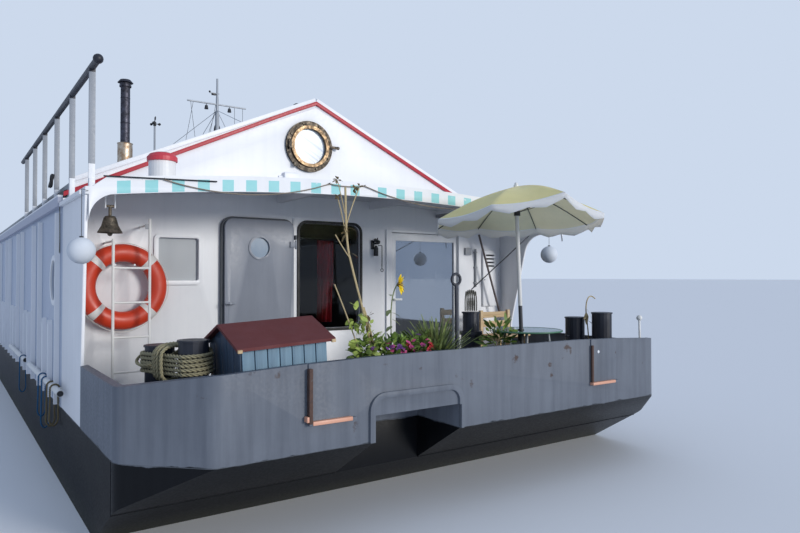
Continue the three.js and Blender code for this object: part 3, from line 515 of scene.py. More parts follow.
def patinated(name, bright, dull, roughness, scale):
    material, tree, principled = shader(name, roughness, metallic=0.85)
    spots = cloud(tree, scale, 7, 0.7).ramp(0.35, 0.65)
    fed(principled, "Base Color", mixed(tree, spots, tint(*bright), tint(*dull)))
    fed(principled, "Roughness", spots.ramp(0, 1, roughness - 0.12, roughness + 0.2))
    bumped(principled, cloud(tree, scale * 6, 4), 0.0006)
    return material


def round_window_bronze():
    material, tree, principled = shader("porthole_bronze", 0.45, metallic=0.8)
    x, y, z = axes(tree)
    across = x - GABLE_LIGHT.x
    up_from = z - GABLE_LIGHT.z
    away = (across * across + up_from * up_from).math("SQRT")
    spots = cloud(tree, 26.0, 7, 0.7).ramp(0.35, 0.65)
    dark = mixed(tree, spots, tint(84, 76, 66), tint(46, 42, 39))
    bright = mixed(tree, spots, tint(150, 126, 98), tint(98, 82, 64))
    fed(principled, "Base Color", mixed(tree, away < BRIGHT_RING, dark, bright))
    fed(principled, "Roughness", spots.ramp(0, 1, 0.35, 0.62))
    bumped(principled, cloud(tree, 150.0, 4), 0.0006)
    return material


bell_bronze = patinated("bell_bronze", (124, 114, 100), (72, 68, 62), 0.5, 30)
stove_steel = patinated("stove_steel", (92, 92, 104), (56, 56, 62), 0.5, 14)
stove_base_steel = patinated("stove_base_steel", (226, 218, 202), (158, 124, 92), 0.42, 7)
porthole_bronze = round_window_bronze()
print("metals made")

# %% [markdown]
# Glass is clear with a few smears that roughen it. Each pane has its own tint, because each one sees
# something else behind it. The gable's pane carries painted reflections of the sky, slanting blue
# bands. Rubber and plastic differ in colour, gloss and grain alone.

# %% Glass, rubber and plastic
REFLECTED_SKY_BANDS = [
    # level, width, strength
    (3.735, 0.022, 0.9), (3.640, 0.014, 0.5), (3.590, 0.018, 0.8), (3.545, 0.010, 0.5),
]


def glazed(name, colour, roughness=0.03, transmission=1.0, ior=1.48, metallic=0.0):
    material, tree, principled = shader(name, roughness, metallic, Transmission_Weight=transmission, IOR=ior)
    smears = cloud(tree, 4.0, 6, 0.6, stretched(tree, (2, 2, 0.6)))
    fed(principled, "Roughness", smears.ramp(0.45, 0.75, roughness, roughness + 0.08))
    clear = tint(*colour)
    fed(principled, "Base Color", mixed(tree, cloud(tree, 2.0), clear, darker(clear, 0.85)))
    return material


def moulded(name, colour, roughness=0.5, grain=60.0, depth=0.0004):
    material, tree, principled = shader(name, roughness)
    fresh = tint(*colour)
    worn = cloud(tree, 3.0, 6).ramp(0.35, 0.7)
    fed(principled, "Base Color", mixed(tree, worn, fresh, darker(fresh, 0.82)))
    fed(principled, "Roughness", cloud(tree, 9.0, 5).ramp(0.3, 0.7, roughness - 0.08, roughness + 0.12))
    bumped(principled, cloud(tree, grain, 3), depth)
    return material


def sky_reflection_glass():
    """Old glass with painted reflections of the sky: slanting blue bands, each one a place along the slant.
    """
    material, tree, principled = shader("sky_reflection_glass", 0.18, Transmission_Weight=0.2, IOR=1.45)
    x, y, z = axes(tree)
    slant = z + x * 0.55
    colour = mixed(tree, cloud(tree, 5.0, 3), tint(176, 192, 208), tint(198, 208, 218))
    # Each band is a painted reflection of the sky.
    for level, width, strength in REFLECTED_SKY_BANDS:
        colour = mixed(tree, slant.near(level, width) * strength, colour, tint(122, 148, 184))
    fed(principled, "Base Color", colour)
    return material


window_glass = glazed("window_glass", (196, 208, 214))
frosted_glass = glazed("frosted_glass", (182, 188, 194), 0.45, 0.2)
dark_glass = glazed("dark_glass", (196, 202, 206), 0.02, ior=1.33)
sky_glass = glazed("sky_glass", (168, 188, 210), 0.10, 0.35)
door_glass = glazed("door_glass", (176, 184, 194), 0.02, 0.3, metallic=0.8)
gable_glass = sky_reflection_glass()
rubber = moulded("window_rubber", (24, 25, 27), 0.55)
door_plastic = moulded("door_plastic", (232, 234, 237), 0.32, 90, 0.0002)
black_plastic = moulded("black_plastic", (30, 31, 34), 0.45)
grey_plastic = moulded("grey_plastic", (150, 154, 160), 0.5)
dark_metal = moulded("dark_metal", (34, 36, 42), 0.5, 80)
orange_shell = moulded("lifebuoy_orange", (206, 62, 34), 0.42, 120, 0.0003)
lantern_shell = moulded("lantern_shell", (216, 222, 230), 0.65, 40, 0.0004)
table_plastic = moulded("table_green", (84, 128, 104), 0.35)
print("glass, rubber and plastic made")

# %% [markdown]
# Wood is fibres: a cloud stretched along the grain, pale and dark. The direction of the stretch is
# what tells a standing board from a lying one.

# %% Wood and boards
LYING = (1.2, 26, 26)
STANDING = (26, 26, 1.5)


def grained(name, pale, dark, along=LYING):
    material, tree, principled = shader(name, 0.6)
    fibres = cloud(tree, 1.5, 8, 0.65, stretched(tree, along), 0.4)
    fed(principled, "Base Color", mixed(tree, fibres.ramp(0.3, 0.7), tint(*pale), tint(*dark)))
    bumped(principled, fibres, 0.0015)
    return material


bench_wood = grained("bench_wood", (214, 190, 150), (170, 140, 100))
planter_wood = grained("planter_wood", (120, 92, 66), (78, 58, 44))
pole_wood = grained("pole_wood", (104, 92, 90), (70, 60, 60), (26, 26, 1.2))
kennel_boards = grained("kennel_boards", (116, 148, 168), (88, 118, 140), STANDING)
kennel_shaded_boards = grained("kennel_shaded_boards", (60, 82, 104), (44, 62, 82), STANDING)
kennel_roofing = moulded("kennel_roofing", (98, 44, 44), 0.75, 45, 0.0012)
print("materials", len(bpy.data.materials))

# %% [markdown]
# Pieces are modelled as by hand. These helpers keep the habit in one place: clear the selection,
# work on one object, apply its place to its mesh, then name it, paint it and let it ride on a body.

# %% Helpers that work on a piece
def up(height):
    return Vector((0, 0, height))


def linked(name, data):
    """A new object for a mesh or a curve, put into the scene."""
    piece = bpy.data.objects.new(name, data)
    bpy.context.scene.collection.objects.link(piece)
    return piece


def from_points(name, points, faces):
    mesh = bpy.data.meshes.new(name)
    mesh.from_pydata(points, [], faces)
    return linked(name, mesh)


def alone(piece=None):
    bpy.ops.object.select_all(action="DESELECT")
    if piece is not None:
        piece.select_set(True)
        bpy.context.view_layer.objects.active = piece


def settled(piece):
    alone(piece)
    bpy.ops.object.transform_apply(location=True, rotation=True, scale=True)
    return piece


def modified(piece, kind, **settings):
    alone(piece)
    bpy.ops.object.modifier_add(type=kind)
    modifier = piece.modifiers[-1]
    for key, value in settings.items():
        setattr(modifier, key, value)
    bpy.ops.object.modifier_apply(modifier=modifier.name)
    return piece


def softened(piece, width, segments=2, angle=30):
    return modified(piece, "BEVEL", width=width, segments=segments, limit_method="ANGLE",
                    angle_limit=math.radians(angle))


def smoothed(piece, angle=35):
    alone(piece)
    bpy.ops.object.shade_smooth_by_angle(angle=math.radians(angle))
    return piece


def joined(parts):
    alone(parts[0])
    for part in parts[1:]:
        part.select_set(True)
    if len(parts) > 1:
        bpy.ops.object.join()
    return bpy.context.view_layer.objects.active


def finished(piece, name, material, body="boat", replaces=(), angle=35):
    """The piece, or several joined into one, smoothed, named, painted and put on its body."""
    if isinstance(piece, list):
        piece = joined(piece)
    if angle:
        smoothed(piece, angle)
    piece.name = name
    piece.data.name = name
    piece.data.materials.clear()
    piece.data.materials.append(material)
    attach(piece, body)
    if replaces:
        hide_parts(*replaces)
    return piece


# %% [markdown]
# The ready shapes: a block between two corners, a bar between two ends, a ball, a hoop, a disc, and a
# tube swept along a line of points.

# %% Ready shapes
UPRIGHT = (math.pi / 2, 0, 0)


def shaped(add, **settings):
    alone()
    add(**settings)
    return settled(bpy.context.object)


def block(low, high, soft=0.0):
    low, high = Vector(low), Vector(high)
    piece = shaped(bpy.ops.mesh.primitive_cube_add, size=1, location=(low + high) / 2, scale=high - low)
    return softened(piece, soft) if soft else piece


def round_bar(start, end, radius, sides=16, end_radius=None):
    start, end = Vector(start), Vector(end)
    way = end - start
    return shaped(bpy.ops.mesh.primitive_cone_add, vertices=sides, radius1=radius,
                  radius2=radius if end_radius is None else end_radius, depth=way.length,
                  location=(start + end) / 2, rotation=way.to_track_quat("Z", "Y").to_euler())


def ball(centre, radius, scale=(1, 1, 1), segments=24):
    return shaped(bpy.ops.mesh.primitive_uv_sphere_add, segments=segments, ring_count=segments // 2,
                  radius=radius, location=centre, scale=scale)


def hoop(centre, major, minor, rotation=(0, 0, 0), segments=40, ring=12):
    return shaped(bpy.ops.mesh.primitive_torus_add, location=centre, rotation=rotation, major_radius=major,
                  minor_radius=minor, major_segments=segments, minor_segments=ring)


def disc(centre, radius, thick, axis=(0, 0, 1), sides=32, soft=0.0):
    half = Vector(axis) * thick / 2
    piece = round_bar(Vector(centre) - half, Vector(centre) + half, radius, sides)
    return softened(piece, soft, 2, 60) if soft else piece


def swept(points, radius, smooth=True, sides=8):
    """A round tube along a smooth or a bent line through the points, as a mesh."""
    line = bpy.data.curves.new("line", "CURVE")
    line.dimensions = "3D"
    spline = line.splines.new("NURBS" if smooth else "POLY")
    spline.points.add(len(points) - 1)
    for point, spot in zip(spline.points, points):
        point.co = (*spot, 1)
    spline.use_endpoint_u = True
    spline.order_u = 4
    spline.resolution_u = 4
    line.bevel_depth = radius
    line.bevel_resolution = max(0, sides // 4 - 1)
    line.use_fill_caps = True
    alone(linked("line", line))
    bpy.ops.object.convert(target="MESH")
    return bpy.context.object


# %% [markdown]
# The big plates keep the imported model's shapes. A copy of each gets small rounded edges, because an
# edge that catches the light is what tells the eye that a plate is steel and not paper.

# %% Plates, walls and roof
PLATES = [
    # material, slot, edge width, nodes
    (hull_paint, "hull_paint", 0.006, ["hull", "hull_bow_left", "hull_bow_right"]),
    (hull_paint, "hull_paint", 0.003, ["anchor_housing", "bulwark_bow", "bulwark_stern"]),
    (wall_paint, "white_paint", 0.004, ["wall_left", "wall_right"]),
    (white_paint, "white_paint", 0.003, ["wall_front", "wall_aft", "gable_front"]),
    (roof_paint, "roof_paint", 0.004, ["roof_left", "roof_right"]),
    (red_paint, "red_paint", 0.003, ["fascia_front"]),
    (porch_paint, "white_paint", 0.003, ["porch_roof"]),
    (white_paint, "white_paint", 0.006, ["wing_left", "wing_right"]),
    (dark_paint, "dark_paint", 0.004, ["door_coaming"]),
    (rubber, "window_rubber", 0.003, ["picture_window_frame"]),
    (white_paint, "white_paint", 0.002, ["locker_door"]),
    (door_paint, "door_paint", 0.004, ["aft_door"]),
    (white_paint, "dark_paint", 0.002, ["bell_bracket"]),
    (rail_paint, "galvanised", 0.002, ["roof_rail"]),
    (bench_wood, "bench_wood", 0.003, ["bench"]),
    (planter_wood, "planter_wood", 0.003, ["planter"]),
    (door_plastic, "door_frame", 0.003, ["glass_door"]),
    (door_paint, "door_paint", 0.005, ["steel_door"]),
]
DOORS = ("locker_door", "aft_door", "glass_door", "steel_door")
MERGE = 0.0003
FLAT_ENOUGH = math.radians(0.6)


def dressed(node, material, width, body):
    """A copy of a plain solid with its flats merged and its edges rounded, to stand for the solid."""
    piece = linked(node + "_dressed", nodes[node].data.copy())
    alone(piece)
    bpy.ops.object.mode_set(mode="EDIT")
    bpy.ops.mesh.select_all(action="SELECT")
    bpy.ops.mesh.remove_doubles(threshold=MERGE)
    bpy.ops.mesh.dissolve_limited(angle_limit=FLAT_ENOUGH)
    bpy.ops.object.mode_set(mode="OBJECT")
    softened(piece, width)
    return finished(piece, node + "_dressed", material, body, (node,))


for material, slot, width, names in PLATES:
    for name in names:
        dressed(name, material, width, name if name in DOORS else "boat")
print("plates dressed:", sum(len(names) for *_, names in PLATES))

# %% [markdown]
# Small round fittings and panes are already right as solids. They keep their meshes and get a finish
# and smooth shading.

# %% Panes and fittings that keep their solids
KEPT = {
    window_glass: ["side_porthole_glass_left", "side_porthole_glass_right"],
    dark_glass: ["picture_window_glass"],
    sky_glass: ["steel_door_glass"],
    gable_glass: ["gable_porthole_glass"],
    door_glass: ["glass_door_glass"],
    frosted_glass: ["small_window_glass"],
    mast_paint: ["wind_mast", "signal_mast"],
    black_plastic: ["wind_cups"],
    bell_bronze: ["bell"],
    porthole_bronze: ["gable_porthole"],
    bollard_paint: ["bollards_bow_left", "bollards_bow_right", "bollard_bow_middle",
                    "bollards_stern_left", "bollards_stern_right", "ring_post"],
    ladder_paint: ["ladder", "ball_fitting"],
    pole_paint: ["parasol_pole"],
    vent_paint: ["vent_head"],
    kennel_roofing: ["kennel_roof"],
}


def repainted(name, material):
    nodes[name].data.materials.clear()
    nodes[name].data.materials.append(material)


for material, names in KEPT.items():
    for name in names:
        repainted(name, material)
        smoothed(nodes[name], 40)
print("solids kept:", sum(len(names) for names in KEPT.values()))

# %% [markdown]
# Edit mode works on what is selected, and here the selection is made in code: a test on each
# vertex's place picks it. Pieces that repeat are modelled once, and their copies get meshes of
# their own, because a finished piece may share its mesh with nothing.

# %% Picking vertices and strewing copies
def picked(piece, test):
    alone(piece)
    bpy.ops.object.mode_set(mode="EDIT")
    bpy.ops.mesh.select_mode(type="VERT")
    bpy.ops.mesh.select_all(action="DESELECT")
    bpy.ops.object.mode_set(mode="OBJECT")
    for vertex in piece.data.vertices:
        vertex.select = test(vertex.co)
    bpy.ops.object.mode_set(mode="EDIT")


def strewn(model, spots):
    """Copies of a model, each turned and scaled to its spot (place, turn, size), joined into one."""
    copies = []
    for where, turn, size in spots:
        copy = linked(model.name, model.data.copy())
        size = (size, size, size) if isinstance(size, float) else size
        copy.data.transform(Matrix.LocRotScale(Vector(where), Euler(turn), Vector(size)))
        copies.append(copy)
    bpy.data.objects.remove(model)
    return joined(copies)


# %% [markdown]
# The lifebuoy is a foam ring in an orange skin. Four bands of tape go round it, and a thin grab line
# runs from band to band. A band is a slightly fatter ring with all but one stretch deleted, its two
# holes then closed.

# %% Lifebuoy with its bands
BUOY = Vector((-2.092, -5.622, 2.205))
BUOY_RING = 0.296
BUOY_TUBE = 0.079
BUOY_FLAT = 0.82
TAPE = 0.001
HALF_BAND = math.radians(9)
BAND_ANGLES = [math.radians(45 + 90 * quarter) for quarter in range(4)]
white_tape = moulded("white_tape", (226, 224, 222), 0.5, 80)


def pressed_ring(tube):
    """The ring is lower than it is wide in section, so it is pressed towards its middle plane."""
    piece = hoop(BUOY, BUOY_RING, tube, UPRIGHT, 72, 24)
    picked(piece, lambda co: True)
    bpy.ops.transform.resize(value=(1, BUOY_FLAT, 1), center_override=BUOY)
    bpy.ops.object.mode_set(mode="OBJECT")
    return piece


def band(middle):
    def elsewhere(co):
        around = math.atan2(co.z - BUOY.z, co.x - BUOY.x)
        return abs(math.remainder(around - middle, math.tau)) > HALF_BAND
    piece = pressed_ring(BUOY_TUBE + TAPE)
    picked(piece, elsewhere)
    bpy.ops.mesh.delete(type="VERT")
    bpy.ops.mesh.select_all(action="SELECT")
    bpy.ops.mesh.fill_holes(sides=0)
    bpy.ops.mesh.normals_make_consistent(inside=False)
    bpy.ops.object.mode_set(mode="OBJECT")
    return piece


finished(pressed_ring(BUOY_TUBE - TAPE), "buoy_ring", orange_shell, replaces=("lifebuoy",),
         angle=60)
finished([band(angle) for angle in BAND_ANGLES], "buoy_bands", white_tape, angle=40)
print("lifebuoy bands:", len(BAND_ANGLES))

# %% [markdown]
# A rope's line is a list of points. A smooth curve goes through them, and points are set along it at
# even steps, so that what is wound round the line has the same pitch everywhere.

# %% Even points along a smooth line
FINE = 16


def between(a, b, c, d, u):
    """The point at share u between b and c, on a smooth line that also comes from a and goes to d."""
    bend = 2 * a - 5 * b + 4 * c - d
    twist = 3 * b - a - 3 * c + d
    return 0.5 * (2 * b + (c - a) * u + bend * u ** 2 + twist * u ** 3)


def evened(points, step):
    """Points a step apart along a smooth line through the given points, and the line's length."""
    knots = [Vector(point) for point in points]
    knots = [2 * knots[0] - knots[1], *knots, 2 * knots[-1] - knots[-2]]
    fine = []
    for four in zip(knots, knots[1:], knots[2:], knots[3:]):
        fine += [between(*four, i / FINE) for i in range(FINE)]
    fine.append(knots[-2])
    lengths = [0.0]
    for first, second in zip(fine, fine[1:]):
        lengths.append(lengths[-1] + (second - first).length)
    count = max(2, round(lengths[-1] / step))
    even = []
    at = 0
    for i in range(count + 1):
        want = lengths[-1] * i / count
        while at < len(fine) - 2 and lengths[at + 1] < want:
            at += 1
        span = max(lengths[at + 1] - lengths[at], 1e-9)
        even.append(fine[at].lerp(fine[at + 1], (want - lengths[at]) / span))
    return even, lengths[-1]


# %% [markdown]
# Laid rope is three strands twisted round each other. A tube with a picture of strands would look
# like plastic from close by, so the strands are real: three thin tubes that wind round the rope's
# line.

# %% Rope from strands
PITCH = 3.3
STRAND_SIDES = 7


def circle(centre, radius, side, other, sides):
    angles = [math.tau * j / sides for j in range(sides)]
    return [centre + radius * (math.cos(angle) * side + math.sin(angle) * other) for angle in angles]


def laid_rope(name, line, diameter, strands):
    """Strands wound round a line of even points, as a mesh of closed tubes."""
    radius = diameter / 2
    strand = radius * (0.47 if strands == 3 else 1.0)
    offset = radius - strand
    side = (line[1] - line[0]).orthogonal().normalized()
    verts = []
    rings = [[] for _ in range(strands)]
    run = 0.0
    for i, point in enumerate(line):
        ahead = (line[min(i + 1, len(line) - 1)] - line[max(i - 1, 0)]).normalized()
        side = (side - ahead * side.dot(ahead)).normalized()
        other = ahead.cross(side)
        if i:
            run += (point - line[i - 1]).length
        for k in range(strands):
            turn = math.tau * (run / (PITCH * diameter) + k / strands)
            centre = point + offset * (math.cos(turn) * side + math.sin(turn) * other)
            rings[k].append(range(len(verts), len(verts) + STRAND_SIDES))
            verts += circle(centre, strand, side, other, STRAND_SIDES)
    faces = []
    for tube in rings:
        for low, high in zip(tube, tube[1:]):
            for j in range(STRAND_SIDES):
                following = (j + 1) % STRAND_SIDES
                faces.append((low[j], low[following], high[following], high[j]))
        faces.append(tuple(reversed(tube[0])))
        faces.append(tuple(tube[-1]))
    return from_points(name, verts, faces)


def roped(name, points, diameter, material, strands=3, step=None, replaces=()):
    step = step or diameter * 0.45
    line, length = evened(points, step)
    piece = laid_rope(name, line, diameter, strands)
    finished(piece, name, material, replaces=replaces, angle=50)
    path = line[::max(1, round(diameter * 0.5 / step))]
    if path[-1] != line[-1]:
        path.append(line[-1])
    print(name, "length", round(length, 2))


rope_fibre = moulded("rope_fibre", (156, 149, 120), 0.85, 260, 0.0012)
grey_fibre = moulded("grey_fibre", (118, 117, 110), 0.85, 300, 0.001)

# %% [markdown]
# The mooring rope goes five times round the left pair of bollards, turn on turn, a rope's width
# apart. Its end is put away in a knot.

# %% Mooring rope round the left pair
LEFT_A = Vector((-2.166, -7.092, 0))
LEFT_B = Vector((-2.040, -7.425, 0))
ALONG = (LEFT_B - LEFT_A).normalized()
ROPE = 0.028
FIRST_TURN_Z = 1.652
POST_RADIUS = 0.097
TURNS = 5
KNOT = [
    # shift, turn
    ((0, 0, 0.004), (0.5, 0.3, 0)),
    ((0.006, -0.012, 0.0), (1.4, 0.4, 0.5)),
    ((-0.01, 0.01, -0.004), (1.1, -0.9, 0)),
]


def oval(step_count):
    """Points once round both posts, as offsets to put at any height."""
    start = math.atan2(ALONG.x, -ALONG.y)
    reach = POST_RADIUS + ROPE / 2 + 0.002
    points = []
    for centre, first in ((LEFT_A, start), (LEFT_B, start + math.pi)):
        for i in range(step_count + 1):
            angle = first + math.pi * i / step_count
            points.append(centre + reach * Vector((math.cos(angle), math.sin(angle), 0)))
    return points


round_both = oval(8)
rope_line = []
for i, point in enumerate(round_both * TURNS):
    rope_line.append(point + up(FIRST_TURN_Z + ROPE * 1.02 * i / len(round_both)))
knot_parts = [hoop(rope_line[-1] + Vector(shift), 0.022, 0.0125, turn, 24, 10) for shift, turn in KNOT]
knot = finished(knot_parts, "mooring_knot", rope_fibre, angle=50)
roped("mooring_turns", rope_line, ROPE, rope_fibre, replaces=("mooring_rope",))

# %% [markdown]
# Between the two posts a thinner rope is lashed upright over the turns, and it ends in one loose
# turn round the left post. Its turns wander a little, as turns laid by hand do.

# %% Lashing between the posts, and a last turn round the left one
THIN_ROPE = 0.024
THIN_STEP = 0.010
LASH_TURNS = 4
BETWEEN = (LEFT_A + LEFT_B) / 2 + up(1.7235)
OUTWARD = Vector((-ALONG.y, ALONG.x, 0))


def squared(angle, wide, tall):
    """A point on a rounded box: the fourth power keeps its sides flat and its corners soft."""
    c, s = math.cos(angle), math.sin(angle)
    reach = (c ** 4 + s ** 4) ** -0.25
    return OUTWARD * (wide * c * reach) + up(tall * s * reach)


lashing = []
for i in range(LASH_TURNS * 20):
    turn = i / 20
    drift = (turn - LASH_TURNS / 2) * 0.026 + 0.006 * math.sin(2.1 * turn)
    tall = 0.116 + 0.004 * math.sin(5 * turn)
    lashing.append(BETWEEN + ALONG * drift + squared(math.tau * turn - math.pi / 2, 0.156, tall))
around = []
for i in range(26):
    turn = i / 18
    angle = math.atan2(ALONG.y, ALONG.x) - 0.9 + math.tau * turn
    height = 1.780 - 0.055 * math.cos(math.tau * turn + 0.6) - 0.02 * turn
    around.append(LEFT_A + 0.146 * Vector((math.cos(angle), math.sin(angle), 0)) + up(height))
roped("mooring_lashing", lashing, THIN_ROPE, rope_fibre, step=THIN_STEP)
roped("mooring_last_turn", around, THIN_ROPE, rope_fibre, step=THIN_STEP)

# %% [markdown]
# On the single bollard stands a coil of thin line, its turns upright and a little apart, so it shows
# as a small beehive of strands. A taut line comes down to it from a hook on the porch roof.

# %% Hank on the single bollard
HANK = Vector((0.85, -6.85, 1.957))
HANK_LINE = 0.0135
HANK_TURNS = 6
TURN_STEPS = 14
ACROSS = Vector((0.8192, -0.5733, 0))
AHEAD = Vector((0.5733, 0.8192, 0))
hank_points = []
for i in range(HANK_TURNS * TURN_STEPS + 1):
    turn = i / TURN_STEPS
    along = (turn / HANK_TURNS - 0.5) * 0.108
    shape = math.sqrt(max(0.0, 1 - (along / 0.071) ** 2))
    tall = 0.100 * (0.62 + 0.38 * shape)
    wide = 0.060 * (0.55 + 0.45 * shape)
    angle = math.tau * turn
    bulge = 1 + 0.10 * math.cos(4 * angle)
    height = HANK_LINE / 2 + tall - tall * math.cos(angle) * min(1.0, bulge)
    hank_points.append(HANK + ACROSS * along + AHEAD * wide * math.sin(angle) * bulge + up(height))
roped("hank_line", hank_points, HANK_LINE, grey_fibre, step=0.007, replaces=("rope_hank",))

# %% [markdown]
# A paper lantern is a light ball on a wire. From near it is perfectly round, so it is a fine sphere,
# with a small collar where the wire enters.

# %% Lanterns
WIRE_TOP = 2.910


def lantern(side, centre, hook):
    centre = Vector(centre)
    name = "lantern_ball_" + side
    shell = ball(centre, 0.0935, segments=48)
    finished(shell, name, lantern_shell, replaces=("lantern_" + side,), angle=80)
    collar = round_bar(centre + up(0.088), centre + up(0.102), 0.014, 20)
    wire = swept([centre + up(0.10), (centre.x, centre.y, WIRE_TOP), hook], 0.0022, smooth=False)
    finished([collar, wire], name + "_wire", black_plastic)


lantern("left", (-2.590, -6.660, 2.475), (-2.53, -6.552, 2.912))
lantern("right", (2.160, -6.670, 2.540), (2.160, -6.552, 2.912))
print("lanterns: 2")

# %% [markdown]
# The parasol is a cloth of eight panels, sewn to a valance and stretched over eight ribs. Wind and
# age have bent it: each rib's tip stands at its own height. The cloth sags a little between the ribs.
# It is made as a grid of points that follows those rules, then gets the thickness of canvas.

# %% Parasol: cloth
PARASOL = Vector((1.070, -7.250, 2.841))
RIB = 0.807
TIP = 3.150
PANEL = math.pi / 4
FIRST_RIB = math.radians(30)
RIB_LIFTS = [-0.043, -0.042, -0.072, -0.030, 0.050, 0.155, 0.022, -0.037]
PANEL_STEPS = 12
RING_STEPS = 10
CANVAS = 0.0015


def rib_point(k, t, under=0.0):
    angle = FIRST_RIB + PANEL * k
    rise = (TIP - PARASOL.z) * (1 - t) + 0.035 * math.sin(math.pi * t)
    away = Vector((math.cos(angle), math.sin(angle), 0)) * RIB * t
    return PARASOL + away + up(rise + RIB_LIFTS[k % 8] * t - under)


def cloth_point(k, u, t):
    point = rib_point(k, t).lerp(rib_point(k + 1, t), u)
    point.z -= 0.028 * t * math.sin(math.pi * u)
    return point


def cloth_column(k, u):
    """The points from the hub to the rim and down the valance, whose foot is scalloped."""
    column = [cloth_point(k, u, ring / RING_STEPS) for ring in range(1, RING_STEPS + 1)]
    rim = column[-1]
    wave = 1 - abs(2 * ((2 * u) % 1.0) - 1)
    outward = ((rim - PARASOL) * Vector((1, 1, 0))).normalized()
    for drop in (0.4, 1.0):
        depth = (0.044 + 0.034 * wave) * drop
        column.append(rim - up(depth) + outward * 0.006 * math.sin(9 * u + k) * drop)
    return column


columns = [cloth_column(k, u / PANEL_STEPS) for k in range(8) for u in range(PANEL_STEPS)]
rows = RING_STEPS + 2
faces = []
for c in range(len(columns)):
    first, second = 1 + c * rows, 1 + (c + 1) % len(columns) * rows
    faces.append((0, first, second))
    for row in range(rows - 1):
        faces.append((first + row, first + row + 1, second + row + 1, second + row))
cloth = from_points("parasol_cloth", [rib_point(0, 0)] + sum(columns, []), faces)

# %% [markdown]
# Canvas lets some light through, and its weave is a fine bump. The border is a white strip of the
# same depth all along each panel's edge, so the distance from the pole is measured square to the
# edge. The cloth is pale yellow above and paler below.

# %% Parasol: canvas
BORDER_FROM, BORDER_TO = 0.728, 0.732


def canvas(name, colour, edge):
    material, tree, principled = shader(name, 0.85, Sheen_Weight=0.2, Subsurface_Weight=0.5,
                                       Subsurface_Scale=0.02, Subsurface_Radius=(1.0, 0.92, 0.75))
    x, y, z = axes(tree)
    across = x - PARASOL.x
    ahead = y - PARASOL.y
    fresh = tint(*colour)
    soiled = cloud(tree, 3.2, 6, 0.6).ramp(0.35, 0.75)
    cloth_colour = mixed(tree, soiled, fresh, darker(fresh, 0.86))
    angle = ahead.math("ARCTAN2", across)
    folded = ((angle - FIRST_RIB) / PANEL).math("FRACT") - 0.5
    bent = (folded * PANEL).math("COSINE")
    reach = (across * across + ahead * ahead).math("SQRT")
    border = (reach * bent).ramp(BORDER_FROM, BORDER_TO)
    fed(principled, "Base Color", mixed(tree, border, cloth_colour, tint(*edge)))
    bumped(principled, cloud(tree, 700.0, 2), 0.0004)
    return material


def thickened(piece, thickness, **settings):
    modifier = piece.modifiers.new("cloth", "SOLIDIFY")
    modifier.thickness = thickness
    for key, value in settings.items():
        setattr(modifier, key, value)


canvas_top = canvas("canvas_top", (232, 214, 132), (226, 226, 224))
canvas_under = canvas("canvas_under", (236, 224, 176), (232, 228, 220))
finished(cloth, "parasol_cloth", canvas_top, replaces=("parasol_canopy",), angle=50)
cloth.data.materials.append(canvas_under)
thickened(cloth, CANVAS, offset=-1, material_offset=1)
print("canvas:", canvas_top.name, canvas_under.name)

# %% [markdown]
# Under the cloth eight ribs run from the hub to the rim, and eight stretchers push them up from a
# runner on the pole. The ribs follow the cloth's own rule, a little lower.

# %% Parasol: ribs, hub and ferrule
HUB = Vector((1.070, -7.250, 3.098))
RUNNER = Vector((1.082, -7.250, 2.900))


def rib(k):
    return swept([rib_point(k, t, 0.008) for t in (0.02, 0.25, 0.5, 0.75, 0.985)], 0.0045)


def stretcher(k):
    return swept([RUNNER, rib_point(k, 0.47, 0.012)], 0.0032, smooth=False)


ribs = [rib(k) for k in range(8)] + [stretcher(k) for k in range(8)]
hub = round_bar(HUB - up(0.03), HUB + up(0.022), 0.028, 24)
runner = round_bar(RUNNER - up(0.03), RUNNER + up(0.012), 0.03, 24)
frame_piece = finished(ribs + [hub, runner], "parasol_frame", black_plastic, angle=40)
tip = ball((1.070, -7.250, 3.172), 0.017)
tip_foot = round_bar((1.070, -7.250, 3.142), (1.070, -7.250, 3.162), 0.024, 24)
ferrule = finished([tip, tip_foot], "parasol_ferrule", door_plastic, angle=40)
print("parasol ribs:", len(ribs) // 2)

# %% [markdown]
# A thin white line runs round the ring from band to band for a swimmer to hold. Between two bands it
# stands off a little, so it is a tube along points whose distance from the middle swells and shrinks.

# %% Grab line on the lifebuoy
GRAB = 0.006
grab_points = []
for i in range(73):
    angle = math.radians(45 + 5 * i)
    loose = math.sin(2 * (angle - math.pi / 4)) ** 2
    reach = BUOY_RING + BUOY_TUBE + 0.005 + 0.008 * loose
    way = Vector((reach * math.cos(angle), -0.012 * loose, reach * math.sin(angle) - 0.006 * loose))
    grab_points.append(BUOY + way)
white_line = moulded("white_line", (222, 220, 214), 0.8, 200, 0.0004)
roped("grab_line", grab_points, GRAB, white_line, strands=1, step=0.02)

# %% [markdown]
# Leaves, blades and petals are one model with other proportions: a flat grid whose rows are made
# narrower towards the tip and bent down, given a little thickness. Hundreds of copies, each turned
# its own way over the clump's surface, make foliage that has depth and catches light unevenly.

# %% A leaf and how to strew it over a clump
LEAF_THICKNESS = 0.0012


